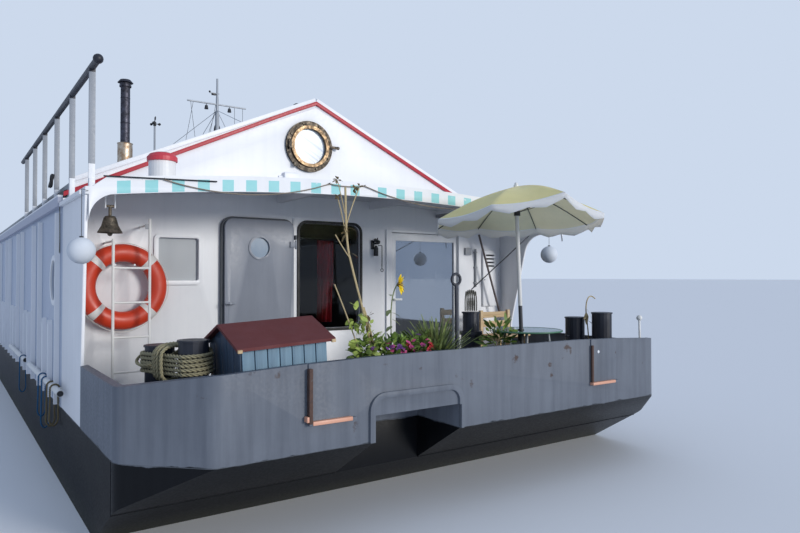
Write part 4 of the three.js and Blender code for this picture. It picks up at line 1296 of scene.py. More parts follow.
def leaf(length, width, droop=0.25, rows=5, fullness=0.35):
    """A leaf that starts at the origin and points along y; fullness is where it is widest."""
    piece = shaped(bpy.ops.mesh.primitive_grid_add, x_subdivisions=2, y_subdivisions=rows, size=1,
                   location=(0, 0.5, 0))
    for row in range(rows + 1):
        along = row / rows
        rising = min(1.0, (0.25 + along / fullness) / 1.25)
        falling = min(1.0, (1.04 - along) / (1.0 - fullness))
        share = rising * math.sqrt(max(falling, 0.0))
        picked(piece, lambda co: abs(co.y - along) < 0.5 / rows)
        bpy.ops.transform.resize(value=(max(share, 0.05), 1, 1), center_override=(0, along, 0))
        bpy.ops.transform.translate(value=(0, 0, -droop * along ** 2 * length))
        bpy.ops.object.mode_set(mode="OBJECT")
    piece.scale = (width, length, 1)
    return modified(settled(piece), "SOLIDIFY", thickness=LEAF_THICKNESS, offset=0)


def facing(way, roll=0.0):
    """The turn that points a leaf's y axis along the way."""
    turn = Vector(way).to_track_quat("Y", "Z") @ Euler((0, roll, 0)).to_quaternion()
    return tuple(turn.to_euler())


def any_way(chance):
    return Vector((chance.gauss(0, 1), chance.gauss(0, 1), chance.gauss(0, 1))).normalized()


def clump_spots(chance, centre, radii, count, size=(0.7, 1.2), low=1.605, shell=(0.72, 0.98)):
    spots = []
    while len(spots) < count:
        way = any_way(chance)
        depth = chance.uniform(*shell)
        where = Vector(centre) + Vector([depth * part * radius for part, radius in zip(way, radii)])
        if where.z < low:
            continue
        lean = Vector((chance.uniform(-0.6, 0.6), chance.uniform(-0.6, 0.6), chance.uniform(-0.3, 0.5)))
        spots.append((where, facing(way + lean, chance.uniform(-1.2, 1.2)), chance.uniform(*size)))
    return spots


def leafed(piece, name, material):
    finished(piece, name, material, angle=None)


# %% [markdown]
# A leaf is paler where more light falls on it, higher up, and darker in the clump's depth. The same
# recipe with other colours makes blades, stems, dry heads and petals.

# %% Colours of the plants
def leafy(name, pale, dark, scale=9.0, roughness=0.55):
    material, tree, principled = shader(name, roughness)
    x, y, z = axes(tree)
    light = cloud(tree, scale, 5, 0.7) + (z - 1.75) * 0.5
    fed(principled, "Base Color", mixed(tree, light.ramp(0.35, 0.68), tint(*dark), tint(*pale)))
    return material


leaf_green = leafy("leaf_green", (132, 160, 72), (46, 74, 34))
light_leaf = leafy("light_leaf", (168, 184, 92), (92, 118, 48))
blade_green = leafy("blade_green", (134, 150, 84), (32, 46, 24), 14.0)
stem_green = leafy("stem_green", (120, 132, 84), (82, 92, 58))
dry_stem = leafy("dry_stem", (182, 164, 124), (116, 102, 72), 22.0, 0.8)
dry_head = leafy("dry_head", (112, 96, 62), (48, 42, 32), 40.0, 0.9)
petal_pink = leafy("petal_pink", (214, 92, 148), (150, 44, 96), 20.0)
petal_violet = leafy("petal_violet", (122, 60, 140), (66, 30, 92), 20.0)
petal_red = leafy("petal_red", (208, 60, 66), (150, 34, 44), 20.0)
petal_yellow = leafy("petal_yellow", (252, 218, 30), (240, 178, 14), 20.0)
print("plant colours made")

# %% [markdown]
# The planter's foliage is three clumps. Leaves are strewn near each clump's skin, and blossoms of
# five petals stand on the side that faces ahead.

# %% Foliage and flowers in the planter
CLUMPS = [((x, -7.79, 1.63), (0.185, 0.145, 0.235)) for x in (-0.88, -0.68, -0.50)]
LEAVES_EACH = 230
LOWEST_FLOWER = 1.66
FLOWERS = [
    # name, material, how many, clumps
    ("flowers_pink", petal_pink, 34, CLUMPS[1:]),
    ("flowers_violet", petal_violet, 26, CLUMPS),
    ("flowers_red", petal_red, 16, CLUMPS[2:]),
]
chance = random.Random(11)
leaf_spots = []
for centre, radii in CLUMPS:
    leaf_spots += clump_spots(chance, centre, radii, LEAVES_EACH)
foliage = strewn(leaf(0.062, 0.034), leaf_spots)
finished(foliage, "foliage", leaf_green, replaces=("planting",), angle=None)


def blossom(petals, length, width):
    parts = []
    for k in range(petals):
        petal = leaf(length, width, 0.3, 3, 0.6)
        petal.rotation_euler = (math.radians(25), 0, math.tau * k / petals)
        parts.append(settled(petal))
    parts.append(ball((0, 0, 0.003), 0.005, segments=8))
    return joined(parts)


def flower_spots(chance, count, clumps):
    spots = []
    while len(spots) < count:
        centre, radii = chance.choice(clumps)
        way = Vector((chance.uniform(-1, 1), -abs(chance.gauss(0.8, 0.5)), chance.uniform(-0.05, 1.0)))
        way.normalize()
        where = Vector(centre) + way * Vector(radii)
        if where.z > LOWEST_FLOWER:
            spots.append((where, tuple(way.to_track_quat("Z", "Y").to_euler()), chance.uniform(0.8, 1.2)))
    return spots


for name, material, count, clumps in FLOWERS:
    leafed(strewn(blossom(5, 0.019, 0.016), flower_spots(chance, count, clumps)), name, material)
print("leaves", len(leaf_spots))

# %% [markdown]
# A yucca is long stiff blades from one point. Each blade is turned on by the golden angle, so that
# none hides the one before.

# %% The yucca beside them
YUCCA = Vector((-0.30, -7.77, 1.605))
GOLDEN = 0.381966
blade_spots = []
for i in range(90):
    outward = math.tau * i * GOLDEN
    steep = math.radians(chance.uniform(38, 88))
    way = Vector((math.cos(outward) * math.cos(steep), math.sin(outward) * math.cos(steep), math.sin(steep)))
    turn = facing(way, chance.uniform(-0.5, 0.5))
    blade_spots.append((YUCCA + way * 0.02, turn, (1.0, chance.uniform(0.72, 1.0), 1.0)))
leafed(strewn(leaf(0.40, 0.026, 0.10, 6, 0.25), blade_spots), "yucca_blades", blade_green)
print("yucca blades", len(blade_spots))

# %% [markdown]
# A sunflower stands in the planter on a thin stem. Its rays are two rings of petals that open at
# different angles, round a dark eye.

# %% Sunflower
SUN_HEAD = Vector((-0.629, -7.745, 2.235))
HEAD_WAY = Vector((0.75, -0.62, 0.10)).normalized()
SUN_STEM = [(-0.684, -7.73, 1.70), (-0.690, -7.73, 1.90), (-0.700, -7.73, 2.05), (-0.668, -7.728, 2.20),
            tuple(SUN_HEAD + Vector((-0.004, 0.018, 0)))]
SUN_LEAVES = [
    # place, way, size
    ((-0.70, -7.73, 2.05), (-0.7, -0.5, -0.2), 1.0), ((-0.69, -7.73, 2.03), (0.9, -0.3, -0.1), 0.9),
    ((-0.684, -7.73, 1.93), (-0.9, -0.4, -0.1), 1.0), ((-0.69, -7.73, 2.12), (0.8, -0.4, 0.3), 0.9),
    ((-0.68, -7.73, 1.98), (0.7, -0.6, -0.3), 0.9), ((-0.70, -7.73, 2.16), (-0.4, -0.8, 0.2), 0.7),
]
SUN_RINGS = [
    # rays, tilt, size
    (15, 12, 1.0), (13, 28, 0.82),
]


def turned(table):
    """Rows of place, way and size made into the spots that strewn takes."""
    return [(where, facing(way), size) for where, way, size in table]


sun_stem = swept(SUN_STEM, 0.0045)
sun_leaf = strewn(leaf(0.075, 0.042, 0.35), turned(SUN_LEAVES))
finished([sun_stem, sun_leaf], "sunflower_stem", stem_green)
upright = HEAD_WAY.to_track_quat("Z", "Y").to_matrix()
ray_spots = []
for ring, (count, tilt, size) in enumerate(SUN_RINGS):
    for k in range(count):
        angle = math.tau * (k + 0.5 * ring) / count
        way = upright @ Vector((math.cos(angle), math.sin(angle), math.tan(math.radians(tilt))))
        ray_spots.append((SUN_HEAD + way.normalized() * 0.018, facing(way), size))
leafed(strewn(leaf(0.060, 0.020, 0.15, 4, 0.45), ray_spots), "sunflower_rays", petal_yellow)
finished(ball(SUN_HEAD + HEAD_WAY * 0.006, 0.022, segments=20), "sunflower_eye", dry_head)
print("sunflower rays:", len(ray_spots))

# %% [markdown]
# Last year's dry canes fork near the top and carry dark seed heads, each a tuft of short husks.

# %% Dry canes
CANE_Y = -7.85
CANES = [
    # points, thickness
    ([(-0.91, CANE_Y, 1.62), (-0.927, CANE_Y, 1.766), (-0.984, CANE_Y, 1.992), (-1.049, CANE_Y, 2.201),
      (-1.113, CANE_Y, 2.42), (-1.144, CANE_Y, 2.541), (-1.148, CANE_Y, 2.90)], 0.0075),
    ([(-1.140, CANE_Y, 2.56), (-1.185, -7.855, 2.76), (-1.214, -7.86, 2.822)], 0.0035),
    ([(-1.146, CANE_Y, 2.62), (-1.10, -7.845, 2.77), (-1.033, -7.84, 2.903)], 0.0040),
    ([(-1.146, CANE_Y, 2.70), (-1.18, CANE_Y, 2.84), (-1.206, CANE_Y, 2.93)], 0.0030),
    ([(-1.113, CANE_Y, 2.42), (-1.17, CANE_Y, 2.49), (-1.225, CANE_Y, 2.575)], 0.0035),
    ([(-0.86, -7.84, 1.62), (-0.90, -7.84, 1.76), (-0.93, -7.845, 1.90), (-1.00, CANE_Y, 2.08)], 0.0060),
    ([(-0.965, -7.83, 1.62), (-1.03, -7.83, 1.80), (-1.13, -7.83, 2.05), (-1.22, -7.83, 2.24)], 0.0045),
]
HEADS = [(-1.206, CANE_Y, 2.945), (-1.214, -7.86, 2.84), (-1.033, -7.84, 2.915), (-1.07, -7.845, 2.895),
         (-1.15, CANE_Y, 2.60), (-0.985, CANE_Y, 1.995), (-0.955, CANE_Y, 2.02), (-0.93, CANE_Y, 1.83)]
HUSKS = 9
finished([swept(points, thick) for points, thick in CANES], "dry_canes", dry_stem)
husk_spots = []
for head in HEADS:
    for _ in range(HUSKS):
        way = any_way(chance)
        turn = facing(way, chance.uniform(-1, 1))
        husk_spots.append((Vector(head) + way * 0.006, turn, chance.uniform(0.6, 1.0)))
leafed(strewn(leaf(0.034, 0.018, 0.3, 3, 0.5), husk_spots), "dry_heads", dry_head)
print("canes:", len(CANES), "husks:", len(husk_spots))

# %% [markdown]
# Light green leaves climb the lower canes, and a few curled brown ones hang on further up.

# %% Climbing and curled leaves
CLIMBERS = [
    # centre, radii, how many
    ((-1.00, CANE_Y, 1.80), (0.10, 0.08, 0.20), 70),
    ((-0.93, -7.84, 1.72), (0.14, 0.10, 0.14), 60),
    ((-1.06, CANE_Y, 2.02), (0.05, 0.05, 0.10), 14),
]
CURLED = [
    # place, way, size
    ((-0.99, CANE_Y, 2.03), (0.4, -0.6, -0.7), 1.0), ((-0.97, CANE_Y, 1.97), (-0.5, -0.5, -0.7), 1.0),
    ((-0.95, CANE_Y, 1.90), (0.5, -0.6, -0.6), 1.0), ((-1.12, CANE_Y, 2.45), (0.5, -0.5, 0.2), 1.0),
    ((-1.14, CANE_Y, 2.58), (-0.9, -0.3, -0.2), 1.0), ((-1.14, CANE_Y, 2.62), (0.6, -0.6, 0.4), 1.0),
    ((-0.93, CANE_Y, 1.80), (-0.6, -0.6, -0.3), 1.0), ((-0.94, CANE_Y, 1.84), (0.6, -0.5, -0.2), 1.0),
]
climbing = []
for centre, radii, count in CLIMBERS:
    climbing += clump_spots(chance, centre, radii, count, (0.8, 1.4), 1.62, (0.3, 1.0))
leafed(strewn(leaf(0.050, 0.032), climbing), "climbing_leaves", light_leaf)
leafed(strewn(leaf(0.055, 0.022, 0.8), turned(CURLED)), "dry_leaves", dry_head)
print("climbing leaves:", len(climbing))

# %% [markdown]
# Behind the single bollard stands a clay pot with a bushy plant. It is made from the same leaf.

# %% A potted plant behind the single bollard
POT = Vector((0.93, -7.16, 1.184))
terracotta = moulded("terracotta", (170, 104, 76), 0.75)
pot = round_bar(POT, POT + up(0.30), 0.13, 32, 0.17)
pot_rim = hoop(POT + up(0.292), 0.168, 0.012)
finished([pot, pot_rim], "plant_pot", terracotta)
shrub_spots = clump_spots(chance, POT + up(0.46), (0.175, 0.13, 0.24), 150, low=1.45, shell=(0.3, 1.0))
shrub = strewn(leaf(0.095, 0.036), shrub_spots)
shrub_stems = []
for k in (-1, 0, 1):
    stem = [(0.02 * k, 0, 0.28), (0.05 * k, 0, 0.45), (0.08 * k, -0.02, 0.62)]
    shrub_stems.append(swept([POT + Vector(spot) for spot in stem], 0.005))
leafed(shrub, "potted_leaves", leaf_green)
finished(shrub_stems, "potted_stems", stem_green)

# %% [markdown]
# The gable's round window: bolts through the flange, a hinge with its pin, and a dog that holds it
# shut. Small parts like these say how big the window is.

# %% Bolts and hinge of the round window
BOLT_CIRCLE = 0.254
bolt = softened(shaped(bpy.ops.mesh.primitive_cylinder_add, vertices=6, radius=0.013, depth=0.014,
                       rotation=UPRIGHT), 0.003)
bolt_spots = []
for angle in [math.radians(18 + 45 * k) for k in range(8)]:
    where = Vector((BOLT_CIRCLE * math.cos(angle), -0.040, BOLT_CIRCLE * math.sin(angle)))
    bolt_spots.append((GABLE_LIGHT + where, (0, angle, 0), 1.0))
bolts = strewn(bolt, bolt_spots)
PIN_MIDDLE = GABLE_LIGHT + Vector((-0.245, -0.062, 0))
hinge_pin = round_bar(PIN_MIDDLE - up(0.052), PIN_MIDDLE + up(0.052), 0.011, 14)
dog_knob = ball(GABLE_LIGHT + Vector((0.345, -0.050, 0.015)), 0.019, segments=16)
lug_low, lug_high = Vector((-0.20, -0.060, -0.235)), Vector((-0.155, -0.036, -0.185))
lug = block(GABLE_LIGHT + lug_low, GABLE_LIGHT + lug_high, 0.006)
finished([bolts, hinge_pin, dog_knob, lug], "porthole_bolts", bell_bronze)
print("bolts of the round window:", len(bolt_spots))

# %% [markdown]
# The stove pipe stands in a sleeve that the heat has turned straw-brown. Above it the black pipe
# carries a weather hat. Each length is a cylinder with a rolled rim.

# %% Stove pipe
STOVE = Vector((-1.29, -1.97, 0))
FLUE = 0.0625


def stove_bar(low, high, radius, end_radius=None):
    return round_bar(STOVE + up(low), STOVE + up(high), radius, 40, end_radius)


def stove_rims(heights, radius, thick, segments):
    return [hoop(STOVE + up(z), radius, thick, segments=segments, ring=8) for z in heights]


sleeve_parts = [stove_bar(3.66, 4.165, 0.099)] + stove_rims((3.68, 4.160), 0.099, 0.006, 48)
finished(sleeve_parts, "stove_sleeve", stove_base_steel)
collar_parts = [stove_bar(3.60, 3.668, 0.148)] + stove_rims((3.64,), 0.148, 0.006, 48)
finished(collar_parts, "stove_collar", stove_steel)
pipe_parts = [stove_bar(4.12, 5.02, FLUE), stove_bar(4.958, 4.984, 0.079)]
pipe_parts.append(stove_bar(5.018, 5.058, 0.104, 0.070))
pipe_parts += stove_rims((4.45, 4.80), FLUE, 0.004, 40)
finished(pipe_parts, "stove_flue", stove_steel, replaces=("stove_pipe",))
print("stove pipe lengths: 3")

# %% [markdown]
# The kennel is boarded. A solid box with a wood colour would show no gaps, so each board is its own
# block, set a little apart from the next. The box behind them is painted dark as shade, so the gaps
# read as shadowed lines, and the side boards take the same painted shade, darker than the front.

# %% Kennel
KENNEL_LEAN = math.radians(3)
KENNEL_PIVOT = Vector((-1.580, 0, 1.184))
KENNEL_LEFT, KENNEL_RIGHT = -1.850, -1.258
KENNEL_FOOT = 1.20
KENNEL_MIDDLE_Y = -7.570
ROOF_SLOPE = 0.395
FRONT_BOARDS = 7
GAP = 0.003


def kennel_board(low, high):
    piece = block(low, high, 0.003)
    alone(piece)
    bpy.ops.transform.rotate(value=KENNEL_LEAN, orient_axis="Y", center_override=KENNEL_PIVOT)
    return settled(piece)


# The box behind the boards is painted dark as shade, so the gaps between boards read as shadow.
repainted("kennel_body", kennel_shaded_boards)
pitch = (KENNEL_RIGHT - KENNEL_LEFT) / FRONT_BOARDS
front_boards = []
for i in range(FRONT_BOARDS):
    low = (KENNEL_LEFT + pitch * i + GAP, -7.858, KENNEL_FOOT)
    high = (KENNEL_LEFT + pitch * (i + 1) - GAP, -7.849, 1.866)
    front_boards.append(kennel_board(low, high))
finished(front_boards, "kennel_front_boards", kennel_boards)
side_boards = []
for i in range(5):
    y_low = -7.846 + 0.111 * i
    y_high = y_low + 0.105
    outer = max(abs(y_low - KENNEL_MIDDLE_Y), abs(y_high - KENNEL_MIDDLE_Y))
    eave = 1.862 + ROOF_SLOPE * (0.28 - outer)
    side_boards.append(kennel_board((-1.858, y_low, KENNEL_FOOT), (-1.849, y_high, min(eave, 1.955))))
# The side boards are painted darker than the front ones, as painted shade on the kennel's shaded side.
finished(side_boards, "kennel_side_boards", kennel_shaded_boards)
rafters = [kennel_board((x, -7.912, 1.843), (x + 0.030, -7.893, 1.864)) for x in (-1.892, -1.246)]
finished(rafters, "kennel_rafters", bench_wood)
print("kennel boards:", len(front_boards) + len(side_boards))

# %% [markdown]
# The table's round top is a sheet of green glass with a darker green rim. Its legs are thin steel.

# %% Table
TABLE = Vector((1.205, -7.250, 1.790))
TABLE_MIDDLE = TABLE - up(0.010)
TABLE_FOOT_Z, TABLE_UNDER_Z = 1.189, 1.776
table_glass = glazed("table_glass", (120, 172, 148), 0.05, 0.85)
finished(disc(TABLE_MIDDLE, 0.332, 0.012, sides=64), "table_glass", table_glass)
finished(hoop(TABLE_MIDDLE, 0.330, 0.0085, segments=72, ring=10), "table_rim", table_plastic)
table_legs = []
for k in range(4):
    angle = math.pi / 4 + math.pi / 2 * k
    way = Vector((math.cos(angle), math.sin(angle), 0))
    foot = Vector((TABLE.x, TABLE.y, TABLE_FOOT_Z)) + way * 0.270
    under = Vector((TABLE.x, TABLE.y, TABLE_UNDER_Z)) + way * 0.200
    table_legs.append(round_bar(foot, under, 0.012, 14))
table_legs.append(hoop((TABLE.x, TABLE.y, 1.446), 0.239, 0.008, segments=56, ring=8))
finished(table_legs, "table_legs", mast_paint, replaces=("table",))
sleeve = round_bar((1.130, -7.250, 1.690), (1.125, -7.250, 1.796), 0.030, 24)
finished(sleeve, "parasol_sleeve", black_plastic)
print("table legs: 4")

# %% [markdown]
# On the cabin's front hangs an old lamp with its chain. Its arm, head and knobs are simple bars,
# blocks and balls, and the chain is one link set at right angles to the one before.

# %% Lamp and its chain
FRONT = -5.50
LAMP_Y = FRONT - 0.055
CHAIN_X, CHAIN_Y, CHAIN_TOP = 0.655, FRONT - 0.07, 2.632
LINK_STEP = 0.0095
lamp_parts = [
    round_bar((0.585, LAMP_Y, 2.525), (0.585, LAMP_Y, 2.612), 0.026, 20),
    round_bar((0.585, LAMP_Y, 2.612), (0.585, LAMP_Y, 2.640), 0.026, 20, 0.010),
    round_bar((0.575, FRONT, 2.665), (0.595, FRONT - 0.085, 2.665), 0.011, 12),
    block((0.548, FRONT - 0.024, 2.60), (0.582, FRONT, 2.70), 0.004),
    ball((0.610, FRONT - 0.060, 2.680), 0.024, segments=14),
    ball((0.572, FRONT - 0.060, 2.700), 0.020, segments=14),
    round_bar((0.600, LAMP_Y, 2.68), (0.605, LAMP_Y, 2.728), 0.006, 10),
    swept([(0.600, CHAIN_Y, 2.640), (CHAIN_X, CHAIN_Y, 2.642)], 0.004, smooth=False),
]
finished(lamp_parts, "wall_lamp", dark_metal)
link = shaped(bpy.ops.mesh.primitive_torus_add, major_radius=0.0065, minor_radius=0.0016, major_segments=12,
              minor_segments=6)
links = []
for i in range(26):
    where = Vector((CHAIN_X, CHAIN_Y, CHAIN_TOP - LINK_STEP * i))
    links.append((where, (math.pi / 2, 0, math.pi / 2 * (i % 2)), 1.0))
pull = hoop((CHAIN_X, CHAIN_Y, 2.366), 0.017, 0.004, UPRIGHT, 20, 8)
finished([strewn(link, links), pull], "lamp_chain", dark_metal)
print("chain links:", len(links))

# %% [markdown]
# Beside the glass door are a switch plate and a cable pipe, and a pole leans in the corner. They are
# simple blocks and bars, but each throws a shadow.

# %% Fittings on the cabin front
plate = block((1.922, FRONT - 0.030, 2.562), (2.018, FRONT, 2.652), 0.006)
finished(plate, "switch_plate", grey_plastic)
plate_window = block((1.940, FRONT - 0.033, 2.580), (2.000, FRONT - 0.026, 2.634), 0.003)
finished(plate_window, "switch_window", grey_plastic)
conduit = [round_bar((2.095, FRONT - 0.016, 2.165), (2.095, FRONT - 0.016, 2.640), 0.0125)]
conduit += [block((2.072, FRONT - 0.022, z), (2.118, FRONT, z + 0.018), 0.002) for z in (2.21, 2.40, 2.59)]
finished(conduit, "cable_pipe", grey_plastic)
leaning = round_bar((2.040, -5.640, 2.812), (2.392, -5.640, 1.822), 0.0125)
finished(leaning, "corner_pole", pole_wood)
ladder_plate = block((-1.962, -5.852, 2.700), (-1.915, -5.848, 2.745), 0.001)
finished(ladder_plate, "ladder_plate", grey_plastic)
print("conduit clips:", len(conduit) - 1)

# %% [markdown]
# A red curtain hangs inside the picture window, gathered to one side. Its folds are a wave across
# the cloth that is deeper at the foot than at the rail, and no two folds are the same.

# %% Curtain
CURTAIN_LEFT, CURTAIN_RIGHT = -0.045, 0.165
CURTAIN_FOOT, CURTAIN_HEAD = 1.800, 2.690
CURTAIN_WIDTH = CURTAIN_RIGHT - CURTAIN_LEFT
CURTAIN_HEIGHT = CURTAIN_HEAD - CURTAIN_FOOT
CURTAIN_Y = -5.345
ROD_Z = 2.702
ACROSS_STEPS, DOWN_STEPS = 72, 24
curtain_red = moulded("curtain_red", (186, 28, 42), 0.85, 400, 0.0008)


def curtain_point(u, v):
    x = CURTAIN_LEFT + CURTAIN_WIDTH * u + 0.02 * math.sin(3.1 * v + 2 * u) * v
    depth = (0.012 + 0.014 * v) * math.sin(math.tau * (4.6 * u + 0.35 * math.sin(5 * u)) + 0.8 * v)
    return Vector((x, CURTAIN_Y + depth, CURTAIN_HEAD - CURTAIN_HEIGHT * v))


PER_ROW = ACROSS_STEPS + 1
verts = [curtain_point(i / ACROSS_STEPS, j / DOWN_STEPS)
         for j in range(DOWN_STEPS + 1) for i in range(PER_ROW)]
faces = []
for j in range(DOWN_STEPS):
    for first in range(j * PER_ROW, j * PER_ROW + ACROSS_STEPS):
        faces.append((first, first + 1, first + PER_ROW + 1, first + PER_ROW))
curtain = finished(from_points("curtain", verts, faces), "curtain", curtain_red, angle=60)
thickened(curtain, 0.0012)
rod = round_bar((-0.30, CURTAIN_Y, ROD_Z), (0.38, CURTAIN_Y, ROD_Z), 0.008, 14)
rod_piece = finished(rod, "curtain_rod", dark_metal)

# %% [markdown]
# A cord with small lights once hung along the porch band, and the bare cord still swings from hook
# to hook. Between two hooks a cord always sags, and it is straightest where it is pulled most.

# %% Cords of the porch
HOOKS = [(-2.000, 3.036), (-0.560, 3.118), (-0.190, 3.128), (1.300, 3.020)]
SAGS = [0.105, 0.012, 0.085]
SAG_STEPS = 10
BAND_FRONT = -6.562
CABLE_Y = -6.560
TAUT_TOP, TAUT_FOOT = (2.223, -6.535, 2.915), (0.862, -6.850, 2.172)
swag = []
for (x0, z0), (x1, z1), sag in zip(HOOKS, HOOKS[1:], SAGS):
    for i in range(SAG_STEPS):
        u = i / SAG_STEPS
        swag.append((x0 + (x1 - x0) * u, BAND_FRONT, z0 + (z1 - z0) * u - 4 * sag * u * (1 - u)))
swag.append((HOOKS[-1][0], BAND_FRONT, HOOKS[-1][1]))
cord_brown = moulded("cord_brown", (150, 138, 124), 0.8, 300, 0.0006)
hooks = [round_bar((x, -6.548, z + 0.006), (x, -6.572, z + 0.010), 0.004, 10) for x, z in HOOKS]
finished(hooks, "cord_hooks", dark_metal)
roped("swag_cord", swag, 0.011, cord_brown, step=0.006)
# A thin dark bar runs along the top of the porch band's left end.
dark_edge_bar = swept([(-2.43, CABLE_Y, 3.028), (-2.00, CABLE_Y, 3.042), (-1.585, CABLE_Y, 3.056)], 0.006)
finished(dark_edge_bar, "dark_edge_bar", dark_metal)
finished(swept([TAUT_TOP, TAUT_FOOT], 0.0055, smooth=False), "taut_line", dark_metal)
print("hooks of the swag:", len(HOOKS))

# %% [markdown]
# The hull is put together from plates. A bead of weld runs along each seam, and the doubling plates
# on the bow have a dark bar at their left edges, rust and painted shade on the plates' sides, and a
# ledge. The beads are thin tubes sunk half into the steel.

# %% Weld beads and doubling plates
SEAM_Y = -7.470
SIDE_X = 2.550
DECK = 1.184
SEAM_LOW = 0.855
HOUSING_LEFT, HOUSING_RIGHT = -1.052, -0.218
HOUSING_FRONT, HOUSING_BACK = -7.985, -7.428
HOUSING_FOOT = DECK + 0.003
SEAMS = [
    [(-1.014, SEAM_Y, SEAM_LOW), (-SIDE_X, SEAM_Y, SEAM_LOW), (-SIDE_X, SEAM_Y, DECK),
     (-1.056, SEAM_Y, DECK)],
    [(-0.256, SEAM_Y, SEAM_LOW), (SIDE_X, SEAM_Y, SEAM_LOW), (SIDE_X, SEAM_Y, DECK),
     (-0.214, SEAM_Y, DECK)],
    [(HOUSING_LEFT, HOUSING_FRONT, HOUSING_FOOT), (HOUSING_LEFT, HOUSING_BACK, HOUSING_FOOT),
     (HOUSING_RIGHT, HOUSING_BACK, HOUSING_FOOT), (HOUSING_RIGHT, HOUSING_FRONT, HOUSING_FOOT)],
]
BARS = [
    # low corner, high corner, softness
    ((1.200, -8.028, 1.372), (1.222, -8.008, 1.700), 0.003),
    ((-1.514, -8.042, 1.372), (-1.488, -8.008, 1.716), 0.003),
]
LEDGES = [
    ((1.198, -8.042, 1.359), (1.500, -8.000, 1.383), 0.004),
    ((-1.488, -8.044, 1.361), (-1.200, -8.000, 1.387), 0.004),
    ((-1.530, -8.044, 1.385), (-1.514, -8.000, 1.420), 0.003),
]
# The bars' dark brown is rust together with painted shade, for the shaded side of each doubling plate.
rust_and_shade_paint = weathered("rust_and_shade_bar", (72, 50, 46), (50, 36, 34), 0.9, 0.3, 4.0)
salmon_paint = weathered("salmon_ledge", (218, 162, 136), (190, 134, 110), 0.0, 0.1, 4.0)
finished([swept(points, 0.0055, smooth=False) for points in SEAMS], "weld_beads", hull_paint)
finished([block(*bar) for bar in BARS], "plate_bars", rust_and_shade_paint)
finished([block(*ledge) for ledge in LEDGES], "plate_ledge", salmon_paint)
finished(ball((1.300, -8.012, 1.640), 0.014, (1, 0.35, 1), 16), "plate_stud", door_plastic)
print("weld beads:", len(SEAMS))

# %% [markdown]
# Along the left wall run two white tubes on brackets, and ropes are hung over them to dry. Each rope
# is a loop that goes over the tube and hangs down on both sides.

# %% Tubes on the left wall with ropes hung over
TUBE_X = -2.600
TUBE_Z = 1.350
TUBE = 0.027
BRACKET = 0.012
TUBE_SPANS = [(-5.80, -3.62), (-3.18, -1.30)]
blue_fibre = moulded("blue_fibre", (26, 96, 140), 0.8, 260, 0.001)
brown_fibre = moulded("brown_fibre", (120, 108, 80), 0.85, 260, 0.001)
HUNG = [
    # name, y, drop, width, diameter, material
    ("blue_loop_a", -4.95, 0.42, 0.10, 0.014, blue_fibre),
    ("blue_loop_b", -4.70, 0.36, 0.12, 0.014, blue_fibre),
    ("brown_loop_a", -5.50, 0.30, 0.09, 0.016, brown_fibre),
    ("brown_loop_b", -5.30, 0.34, 0.10, 0.016, brown_fibre),
    ("blue_loop_c", -2.95, 0.38, 0.12, 0.014, blue_fibre),
]
tube_parts = []
for y0, y1 in TUBE_SPANS:
    tube_parts.append(round_bar((TUBE_X, y0, TUBE_Z), (TUBE_X, y1, TUBE_Z), TUBE, 24))
    for y in [y0 + (y1 - y0) * share for share in (0.12, 0.88)]:
        low = (TUBE_X, y - BRACKET, TUBE_Z - BRACKET)
        high = (-2.545, y + BRACKET, TUBE_Z + BRACKET)
        tube_parts.append(block(low, high, 0.003))
finished(tube_parts, "wall_tubes", ladder_paint)
caps = [disc((TUBE_X, y0 - 0.002, TUBE_Z), TUBE * 0.86, 0.012, (0, 1, 0), 20) for y0, y1 in TUBE_SPANS]
finished(caps, "tube_ends", black_plastic)


def hung_loop(name, y, drop, width, diameter, material):
    """A loop that starts behind the tube, goes over it, down in front and up again behind."""
    over = TUBE + diameter / 2 + 0.001
    low = TUBE_Z - drop
    crown = [(TUBE_X + over * math.cos(a), y, TUBE_Z + over * math.sin(a))
             for a in (0.0, 0.52, 1.05, 1.57, 2.09, 2.62, 3.14)]
    front = [(TUBE_X - over, y + width * 0.5 * u, TUBE_Z - drop * u) for u in (0.25, 0.5, 0.75, 0.9)]
    bottom = [(TUBE_X - over * 0.7, y + width * 0.5, low), (TUBE_X, y + width * 0.6, low - over * 0.6),
              (TUBE_X + over * 0.7, y + width * 0.7, low)]
    back = [(TUBE_X + over, y + width * (1.0 - 0.3 * u), TUBE_Z - drop * u)
            for u in (0.9, 0.75, 0.5, 0.25, 0.08)]
    points = crown + front + bottom + back
    roped(name, points, diameter, material, step=diameter * 0.4)


for row in HUNG:
    hung_loop(*row)
print("wall ropes:", len(HUNG))

# %% [markdown]
# A loose cord comes down the left wall, a hose lies along the eave, and a coil hangs on the rail's
# foot. They break the wall's straight lines.

# %% Cord down the wall and hose along the eave
WALL_CORD = [(-2.566, -5.44, 2.90), (-2.562, -5.43, 2.62), (-2.560, -5.38, 2.44), (-2.560, -5.28, 2.30),
             (-2.560, -5.33, 2.12), (-2.560, -5.26, 1.98), (-2.560, -5.20, 1.80), (-2.560, -5.16, 1.60)]
EAVE_HOSE = [(-2.470, -5.14, 3.050), (-2.478, -4.60, 3.068), (-2.466, -4.10, 3.052), (-2.480, -3.50, 3.066),
             (-2.468, -2.90, 3.052), (-2.474, -1.70, 3.060)]
COIL = Vector((-2.545, -4.735, 3.20))
roped("wall_cord", WALL_CORD, 0.009, grey_fibre, step=0.008)
finished(swept(EAVE_HOSE, 0.030, sides=14), "eave_hose", rubber)
coil = [hoop(COIL, 0.055 + 0.006 * (i % 2), 0.009, (0, math.pi / 2 + 0.1 * i, 0), 28, 8) for i in range(4)]
finished(coil, "rail_coil", rubber)
print("coil turns:", len(coil))

# %% [markdown]
# The signal mast carries lamps under its yard, an aerial, thin halyards and a frame at its foot. The
# wind gauge has a small vane, and two vents sit on the ridge.

